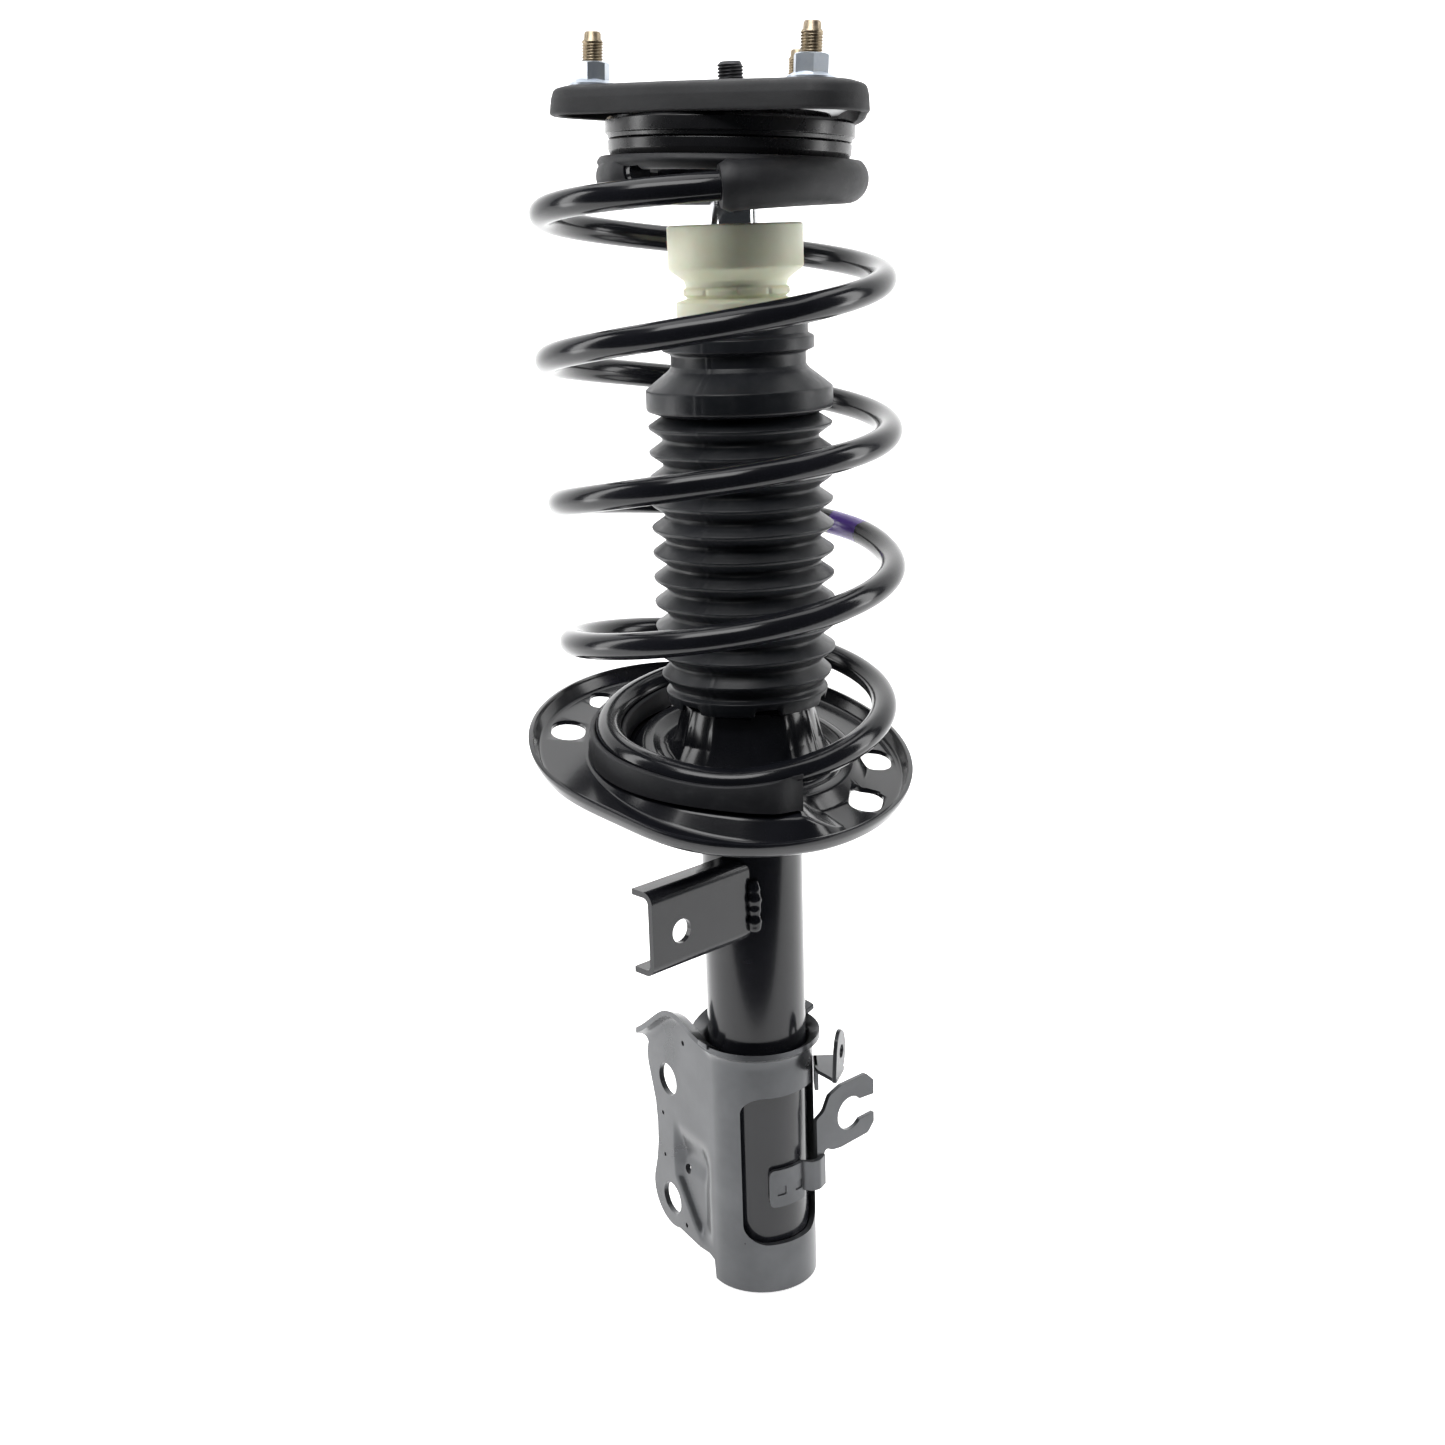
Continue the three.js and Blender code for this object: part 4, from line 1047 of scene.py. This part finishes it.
def mount_steel():
    """The pressed plate under the rubber, with its stud bosses and its hub."""
    plate = prism("plate", mount_outline(4.6), -6.3, -3.3)
    boolean(plate, prism("hole", arc(0, 0, 25.5, 0, 354, 60), -10, 5))
    bosses = []
    for x, y in STUDS.values():
        boss = rounded([(5.3, -4, 0), (10.8, -4, 0), (10.6, -0.4, 0.8), (9.6, 0.1, 0.5), (5.3, 0.1, 0.3)], 3)
        bosses.append(place(turned("boss", boss, 48), Matrix.Translation((x, y, 0))))
    hub = turned("hub", rounded([(25.5, -26, 0.6), (28, -26, 0.8), (28, -6, 1.5), (25.5, -3.5, 0.6)], 3), 96)
    steel = place(join("mount_steel", [plate, hub] + bosses), MOUNT_FRAME)
    finish(steel, "bare_steel", "top_mount", "mount_plate", smooth=40)


def mount_centre():
    """The bonded rubber between the hub and the rod's sleeve, and the dished washer on the rod."""
    bush = rounded([
        (16.4, -24, 1), (25.2, -25, 1), (25.2, -4.5, 1), (22.5, -2.4, 1.2), (20.5, -4.2, 1.5),
        (18, -7.5, 1.5), (16.4, -8, 0.5),
    ])
    finish(place(turned("mount_bush_rubber", bush, 96), MOUNT_FRAME), "rubber", "top_mount", "mount_bush")
    sleeve_top = high("mount_core").z
    washer = rounded([
        (6.4, sleeve_top + 0.3, 0), (15.5, sleeve_top + 0.3, 1), (15.5, sleeve_top + 2.6, 0.8),
        (6.4, sleeve_top + 2.6, 0),
    ])
    finish(turned("rod_washer", washer, 64), "dark_phosphate", "rod")
    nut = flange_nut("rod_nut_hex", 22, 6.35, 11.5, sleeve_top + 2.8, 11.5, sleeve_top + 13)
    finish(nut, "dark_phosphate", "rod", "rod_nut")


def flange_nut(name, across_flats, bore, flange_r, bottom, flange_top_r, top):
    """A hex nut with chamfered corners over a cone-topped flange."""
    across_corners = across_flats / math.cos(math.radians(30))
    hexagon = arc(0, 0, across_corners / 2, 0, 300, 5)
    flange_top = bottom + 2.4
    body = prism("hex", hexagon, bottom + 0.8, top)
    chamfer = 1.3
    cone = turned("cone", [
        (0, bottom - 5), (across_corners / 2 + 5, bottom - 5), (across_corners / 2 + 5, top - chamfer - 2.2),
        (across_flats / 2 - 0.4, top), (0, top),
    ], 96)
    boolean(body, cone, "INTERSECT")
    flange = turned("flange", [
        (0, bottom), (flange_r, bottom), (flange_r, bottom + 0.9), (flange_top_r, bottom + 1.2),
        (across_flats / 2 - 0.6, flange_top + 0.6), (0, flange_top + 0.6),
    ], 96)
    boolean(body, flange, "UNION")
    bore_tool = turned("bore", [
        (0, bottom - 5), (bore, bottom - 5), (bore, top - 0.9), (bore + 2, top + 1.1), (0, top + 1.1),
    ], 64)
    boolean(body, bore_tool)
    return bevel(body, 0.18, 25)


def stud(label, x, y):
    """A mount stud: a serrated head under the plate, a rolled thread and a narrow lead-in end."""
    radius = 4.9
    lead_start, tip = 19.2, 23.5
    profile = [(0, -10.3), (8, -10.3), (8, -6.6), (radius, -6.6)]
    profile += threaded_profile(radius, -3, lead_start, 1.25)
    profile += [(radius - 1.0, lead_start + 1.1), (radius - 1.05, tip - 0.9), (radius - 1.6, tip), (0, tip)]
    shape = thread_surface(radius, 1.25, 2, lead_start + 0.1, 0.62, 1.2)
    piece = turned(f"stud_{label}_threaded", profile, 72, shape)
    place(piece, MOUNT_FRAME @ Matrix.Translation((x, y, 0)))
    finish(piece, "yellow_zinc", "top_mount", f"stud_{label}", smooth=50)
    nut = flange_nut(f"nut_{label}_flanged", 14, 5.0, 10.4, 0.3, 9.9, 10.6)
    spin = Matrix.Rotation(math.radians(17 * int(label)), 4, "Z")
    place(nut, MOUNT_FRAME @ Matrix.Translation((x, y, 0)) @ spin)
    finish(nut, "white_zinc", "top_mount", f"nut_{label}", flats=True)


# ------------------------------------------------------------------ strut bearing and upper rubber
def bearing():
    upper = rounded([
        (33, -22.5, 0.5), (40.5, -22.5, 0), (40.5, -19.6, 0), (47.5, -19.6, 0), (47.5, -22.5, 0),
        (55.8, -22.5, 0.6), (56.3, -20.6, 0.4), (57.2, -20.4, 0.4), (57.2, -14.6, 0.8), (56.2, -13.4, 0.6),
        (46, -13.4, 1), (46, -10, 1), (33, -10, 0.5),
    ])
    piece = place(turned("bearing_upper_moulded", upper, 192), MOUNT_FRAME)
    finish(piece, "black_plastic", "top_mount", "bearing_upper_housing")
    lower = rounded([
        (33, -30, 0.5), (54.6, -30, 0.8), (55.8, -27.5, 0.5), (56, -23.1, 0.5), (47.5, -23.1, 0),
        (47.5, -26, 0), (40.5, -26, 0), (40.5, -23.1, 0), (33, -23.1, 0.5),
    ])
    piece = place(turned("bearing_lower_moulded", lower, 192), MOUNT_FRAME)
    finish(piece, "black_plastic", "spring_top", "bearing_lower_race")
    seat = rounded([
        (14.5, -46, 0.6), (33, -46, 2), (33, -33.3, 1.5), (36, -31.8, 1), (36, -30.3, 0.5),
        (30.5, -30.3, 1), (30.5, -43.5, 1.5), (14.5, -43.5, 0.5),
    ])
    piece = place(turned("upper_seat_pressed", seat, 128), MOUNT_FRAME)
    finish(piece, "black_paint", "spring_top", "upper_spring_seat")


def upper_insulator():
    """The upper rubber: a ring under the bearing, a thick sleeve over the end coil, and a block that
    closes round the wire's end."""
    sleeve_end = 1962.0
    block_start, block_end = 1955.0, WIRE_END - 3
    ring = rounded([(38, -36, 2), (58, -37, 4), (61.5, -33, 3), (59.5, -30.3, 1.2), (38, -30.3, 1)])
    base = place(turned("upper_insulator_moulded", ring, 192), MOUNT_FRAME)

    def sleeve_section(place_on, angle):
        lip = 0.5 * bump(place_on, SLEEVE_START + 2.5, 1.6)
        flatten = 0.7 * max(0.0, -math.sin(angle)) ** 2
        return 10.2 + lip + flatten - 1.6 * (1 - ease((place_on - SLEEVE_START) / 1.0 + 0.2))

    boolean(base, along_wire("sleeve", sleeve_section, SLEEVE_START, sleeve_end, 84, 40), "UNION")

    def block_section(place_on, angle):
        rounding = 1 - ease(min(place_on - block_start, block_end - place_on) / 6)
        return 9.4 - 2.5 * rounding

    boolean(base, along_wire("block", block_section, block_start, block_end, 24, 32), "UNION")

    def room(place_on, angle):
        return WIRE_R + 0.15

    boolean(base, along_wire("room", room, 1600, WIRE_END + 6, 120, 32))
    above = turned("above", [(0, -30.2), (120, -30.2), (120, 10), (0, 10)], 48)
    boolean(base, place(above, MOUNT_FRAME))
    inside = turned("inside", [(0, -70), (36.3, -70), (36.3, -20), (0, -20)], 96)
    boolean(base, place(inside, MOUNT_FRAME))
    finish(base, "sleeve_rubber", "spring_top", "upper_insulator", smooth=45)


# ------------------------------------------------------------------ knuckle bracket
EAR_REACH = 70.0
WRAP = math.pi * KNUCKLE_R


def ear_top(s, swell):
    """The top edge's height along an ear, from the tube's side outwards."""
    return 138 + swell * bump(s, 26, 16) - 20 * ease((s - 34) / 44)


def pocket_depth(s, z):
    """How far the ear is pressed in towards the other ear, in the pocket between its holes."""
    edge = 42 - 0.8 * max(0, 46 - z)
    from_edge = ease((edge - s) / 7)
    from_tube = ease((s - 3) / 13)
    scoop = 4.6 * ease((80 - z) / 22)
    floor = mix(3.0, scoop, ease((z - 50) / 9))
    return floor * from_edge * from_tube * ease((z - 16) / 10)


def knuckle_surface(u, v):
    """The bracket's outer face: across one ear, round the tube, and across the other ear."""
    length = 2 * EAR_REACH + WRAP
    p = u * length
    normal_turn = KNUCKLE_TURN + math.pi / 2
    s = max(EAR_REACH - p, p - EAR_REACH - WRAP, 0)
    if s > 0:
        normal = around(normal_turn)
        normal *= 1 if p < EAR_REACH else -1
        foot = around(KNUCKLE_TURN) * s
    else:
        normal = around(normal_turn + (p - EAR_REACH) / KNUCKLE_R)
        foot = Vector((0, 0, 0))
    bottom = 1.5
    front = 1 - ease(s / 12)
    swell = 6.5 if p < EAR_REACH else -4
    top = mix(ear_top(s, swell), 136 + 2 * (1 - front), front)
    z = mix(bottom, top, v)
    lip = clamp((z - (top - 7)) / 7)
    flare = 5.0 * (1 - math.sqrt(max(0.0, 1 - lip * lip))) * mix(1.25, 0.8, front)
    out = KNUCKLE_R + flare - (pocket_depth(s, z) if s > 0 else 0)
    return foot + normal * out + Vector((0, 0, z))


def ear_tool_outline():
    """What of the pressed sheet is kept: everything round the tube, and each ear's outline."""
    (low_x, low_z), (high_x, high_z) = EAR_HOLES
    outline = [(-60, -10), (1, -10), (3, 12), (8, 13.5), (18, 12.5)]
    outline += arc(low_x, low_z + 2.5, 19, -112, 12, 14)
    outline += [(60.5, 47), (58.6, 58), (58.3, 70), (59.5, 82), (62.5, 92)]
    outline += arc(high_x, high_z + 7, 21, -14, 22, 6)
    outline += [(67.5, 122), (64, 160), (-60, 160)]
    return outline


def knuckle_bracket():
    side_view = upright(KNUCKLE_TURN)
    bracket = sheet("knuckle_bracket_pressed", knuckle_surface, 300, 84, KNUCKLE_SHEET)
    boolean(bracket, place(prism("keep", ear_tool_outline(), -80, 80), side_view), "INTERSECT")
    for x, z in EAR_HOLES:
        drill(bracket, x, z, 9, 36, -60, 60, side_view)
    # [along the ear, height, radius] of the small holes
    for x, z, radius in [(28, 128, 1.4), (52, 78, 1.2), (51.5, 53, 1.2), (31, 19, 1.3), (32.5, 51.5, 2.8)]:
        drill(bracket, x, z, radius, 18, -60, 60, side_view)
    window = rounded([(23, 29, 11), (23, 113, 9), (-23, 113, 9), (-23, 29, 11)], 8)
    boolean(bracket, place(prism("window", window, -60, 0), upright(KNUCKLE_TURN + math.pi / 2)))
    bevel(bracket, 0.3, 50)
    liner = sheet("liner", liner_surface, 96, 60, 2.6)
    bevel(liner, 0.3, 50)
    whole = join("knuckle_bracket_pressed", [bracket, liner])
    finish(whole, "bracket_paint", "strut_body", "knuckle_bracket", smooth=40, flats=True)


def liner_surface(u, v):
    """The inner plate that closes the bracket behind the tube, flared at its top."""
    turn = KNUCKLE_TURN + math.radians(mix(-97, 97, u))
    top = mix(143, 138, ease((u - 0.4) / 0.3))
    z = mix(16, top, v)
    lip = clamp((z - top + 8) / 8)
    out = TUBE_R + 2.9 + 5.5 * (1 - math.sqrt(max(0.0, 1 - lip * lip)))
    return around(turn, out, z)


# ------------------------------------------------------------------ stabiliser-link bracket
def link_frame():
    """X to the bracket's front, Y to height, Z along its reach."""
    front = Vector((-math.sin(LINK_TURN), math.cos(LINK_TURN), 0))
    return axes(front, Vector((0, 0, 1)), around(LINK_TURN))


def link_bracket():
    bottom, top = low("link_bracket").z, high("link_bracket").z
    web, back, thick = 17.0, 3.0, 3.0
    near_end, free_end = 10, 84
    hole_reach, hole_z, hole_r = 65.4, 217.5, 6
    section = rounded([
        (back, bottom, 0), (web, bottom, 6), (web, top, 6), (back, top, 0), (back, top - thick, 0),
        (web - thick, top - thick, 3), (web - thick, bottom + thick, 3), (back, bottom + thick, 0),
    ], 8)
    channel = prism("link_bracket_pressed", section, near_end, free_end)
    frame_of_web = axes(Vector((0, 0, 1)), Vector((0, 1, 0)), Vector((-1, 0, 0)))
    drill(channel, hole_reach, hole_z, hole_r, 36, -60, 60, frame_of_web)
    place(channel, link_frame())
    tube = turned("room", [(0, 150), (TUBE_R + 0.05, 150), (TUBE_R + 0.05, 290), (0, 290)], 128)
    boolean(channel, tube)
    bevel(channel, 0.4, 50)
    finish(channel, "black_paint", "strut_body", "link_bracket", smooth=40, flats=True)


def link_weld():
    """The run of weld that holds the link bracket to the tube, with an uneven width."""
    bottom, top, half_width, rise = 203, 231, 3.5, 2.1
    steps, sides = 60, 16
    turn = math.radians(270)
    outwards = around(turn)
    across = around(turn + math.pi / 2)
    rings = []
    for i in range(steps + 1):
        t = i / steps
        wander = 0.1 * math.sin(t * 13) + 0.07 * math.sin(t * 31 + 1)
        swell = math.sqrt(max(0.0, 1 - (2 * t - 1) ** 8)) * (1 + wander)
        ring = []
        for k in range(sides):
            a = 2 * math.pi * k / sides
            spot = outwards * (TUBE_R + 0.5 + rise * swell * math.sin(a))
            spot += across * half_width * swell * math.cos(a)
            ring.append((spot.x, spot.y, mix(bottom, top, t)))
        rings.append(ring)
    bead = outward(weld(ringed("link_weld_run", rings), 0.01))
    finish(bead, "black_paint", "strut_body", "link_weld", smooth=60)


# ------------------------------------------------------------------ hose and sensor brackets
def small_bracket(name, pieces, node):
    """Several pieces of sheet as one bracket, with softened edges."""
    for piece in pieces:
        bevel(piece, 0.35, 45)
    finish(join(name, pieces), "bracket_paint", "strut_body", node, smooth=40, flats=True)


def strap_surface(u, v):
    """The outer face of the hose bracket's strap, bent round the tube, with rounded corners at its
    first end."""
    corner = 4
    turn = math.radians(mix(278, 324, u))
    inset = corner * (1 - math.sqrt(max(0.0, 1 - (1 - clamp(u * 8)) ** 2)))
    return around(turn, STRAP_OUTER, mix(STRAP_BOTTOM + inset, STRAP_TOP - inset, v))


def hook_outline():
    """The hook plate, as distance along it and height: a C with chamfered tips and a neck."""
    along, height, radius = HOOK_BORE
    mouth = math.degrees(math.asin(HOOK_SLOT / 2 / radius))
    below, above = height - HOOK_SLOT / 2, height + HOOK_SLOT / 2
    lower = rounded([
        (HOOK_TIP, above, 0.5), (HOOK_TIP, 101, 1.5), (51.2, 106.2, 2), (32.5, 105.8, 5), (24, 102.6, 4),
        (20, 95, 6), (14.5, 92, 1), (14.5, 66, 1), (19.5, 66, 2), (20, 74, 3), (25.6, 70.8, 5),
        (31.8, 70, 5), (52, 71.4, 3), (HOOK_TIP, 76.5, 1.5), (HOOK_TIP, below, 0.5),
    ], 4)
    return lower + arc(along, height, radius, -mouth, mouth - 360, 40)


def hose_bracket():
    strap = sheet("strap", strap_surface, 48, 12, STRAP_OUTER - (TUBE_R + 0.1))
    dimple_z = 59
    for turn in (292, 315):
        spot = around(math.radians(turn)) * STRAP_OUTER
        square = rounded([(-2.6, -2.6, 0.8), (2.6, -2.6, 0.8), (2.6, 2.6, 0.8), (-2.6, 2.6, 0.8)], 3)
        dimple = prism("dimple", square, -0.8, 3)
        facing = spot.to_track_quat("Z", "Y").to_matrix().to_4x4()
        boolean(strap, place(dimple, Matrix.Translation(spot + Vector((0, 0, dimple_z))) @ facing))
    lug = prism("lug", rounded([
        (20.8, -15.2, 0), (22, -17, 0), (27, -18.4, 3.5), (31, -16.4, 4), (34.2, -10.6, 0), (32.2, -8.9, 0),
        (29.6, -13.8, 2), (26.6, -15.7, 2),
    ], 5), 54, 71)
    hook = place(prism("hook", hook_outline(), HOOK_FACE - 2.5, HOOK_FACE), upright(HOOK_TURN))
    small_bracket("hose_bracket_pressed", [strap, lug, hook], "hose_bracket")


def sensor_bracket():
    foot, low_z, sheet_mm = 29.1, 119.0, 2.2
    shelf = prism("shelf", rounded([
        (foot, 4, 0), (foot, -9, 0), (30.5, -14, 2), (38.4, -25.2, 1), (39.8, -25.4, 1), (44.6, -10.6, 1),
        (43.4, 4, 3),
    ], 4), low_z, low_z + sheet_mm)
    tab = prism("tab", rounded([
        (-11, low_z, 0.5), (-1.3, low_z, 2), (5.3, 123.5, 3), (7.4, 129, 4), (7.5, 135.2, 4), (5.4, 141, 4),
        (0.5, 144.5, 5), (-3, 143.8, 4), (-6.4, 140.4, 4), (-8.6, 134.8, 4),
    ], 4), TAB_FACE - sheet_mm, TAB_FACE)
    drill(tab, 0, 132.2, 3.4, 24, 0, 80)
    place(tab, upright(TAB_TURN))
    flange = prism("flange", rounded([
        (foot, -9, 0.5), (foot + sheet_mm, -9, 0.5), (foot + sheet_mm, 4, 0.5), (foot, 4, 0.5),
    ], 2), 107, low_z + sheet_mm)
    small_bracket("sensor_bracket_pressed", [shelf, tab, flange], "sensor_bracket")


# ------------------------------------------------------------------ CAD nodes that stay
def repaint_cad_nodes():
    """The pieces inside the damper and the bearing keep their CAD shapes and take a finish."""
    slots = {row["node"]: row["material_slot"] for row in frame["record"]["subparts"]}
    for node, obj in frame["nodes"].items():
        obj.data.materials.clear()
        obj.data.materials.append(FINISH[slots[node]])


# ------------------------------------------------------------------ camera, light and floor
def stage_material(name, colour, roughness, glow):
    material = bpy.data.materials.new(name)
    material.use_nodes = True
    shader = material.node_tree.nodes["Principled BSDF"]
    shader.inputs["Base Color"].default_value = (*colour, 1)
    shader.inputs["Roughness"].default_value = roughness
    shader.inputs["Emission Color"].default_value = (*colour, 1)
    shader.inputs["Emission Strength"].default_value = glow
    return material


def softbox(name, location, target, width, height, power):
    light = bpy.data.lights.new(name, "AREA")
    light.shape = "RECTANGLE"
    light.size = width
    light.size_y = height
    light.energy = power
    obj = bpy.data.objects.new(name, light)
    obj.location = location
    obj.rotation_euler = (Vector(target) - Vector(location)).to_track_quat("-Z", "Y").to_euler()
    bpy.context.scene.collection.objects.link(obj)


def studio():
    """A pale sweep from the floor up behind the strut, strip lights at the sides and one overhead."""
    floor_front, wall, top, bend = -330, 1500, 3200, 600
    profile = [(floor_front, 0), (wall - bend, 0)]
    profile += [(y, z) for y, z in arc(wall - bend, bend, bend, -90, 0, 12)][1:]
    profile += [(wall, top)]
    half = 3500
    points = [(x, y, z) for x in (-half, half) for y, z in profile]
    count = len(profile)
    faces = [(k, k + 1, k + 1 + count, k + count) for k in range(count - 1)]
    sweep = new_object("studio_sweep", points, faces)
    shade(sweep, 60)
    sweep.data.materials.append(stage_material("pale_sweep", (0.9, 0.9, 0.9), 0.8, 0.95))
    world = bpy.data.worlds.new("studio_world")
    world.use_nodes = True
    world.node_tree.nodes["Background"].inputs["Color"].default_value = (0.85, 0.92, 1, 1)
    world.node_tree.nodes["Background"].inputs["Strength"].default_value = 0.04
    bpy.context.scene.world = world
    middle = (0, 0, 0.32)
    softbox("softbox_left", (-1.25, 0.05, 0.55), middle, 0.3, 1.7, 8)
    softbox("softbox_right", (1.25, 0.05, 0.55), middle, 0.3, 1.7, 8)
    softbox("softbox_top", (0.0, 0.1, 2.1), middle, 2.2, 1.6, 26)
    softbox("softbox_front", (-0.5, -1.1, 1.9), middle, 1.4, 0.8, 22)


def camera():
    lens = bpy.data.cameras.new("camera")
    lens.sensor_width = 36
    lens.lens = 44.84
    lens.clip_start = 0.05
    obj = bpy.data.objects.new("camera", lens)
    eye = (-0.0129, -0.866, 0.537)
    pitch = math.radians(75)
    roll = math.radians(-1.8)
    obj.matrix_world = (
        Matrix.Translation(eye)
        @ Matrix.Rotation(pitch, 4, "X")
        @ Matrix.Rotation(roll, 4, "Z")
    )
    bpy.context.scene.collection.objects.link(obj)
    bpy.context.scene.camera = obj
    bpy.context.scene.view_settings.view_transform = "Standard"


camera()
studio()
repaint_cad_nodes()
damper_tube()
piston_rod()
bump_stop()
bellows()
boot_collar()
coil_spring()
lower_seat()
lower_insulator()
mount_cover()
mount_steel()
mount_centre()
for stud_label, (stud_x, stud_y) in STUDS.items():
    stud(stud_label, stud_x, stud_y)
bearing()
upper_insulator()
knuckle_bracket()
link_bracket()
link_weld()
hose_bracket()
sensor_bracket()

bpy.context.view_layer.update()
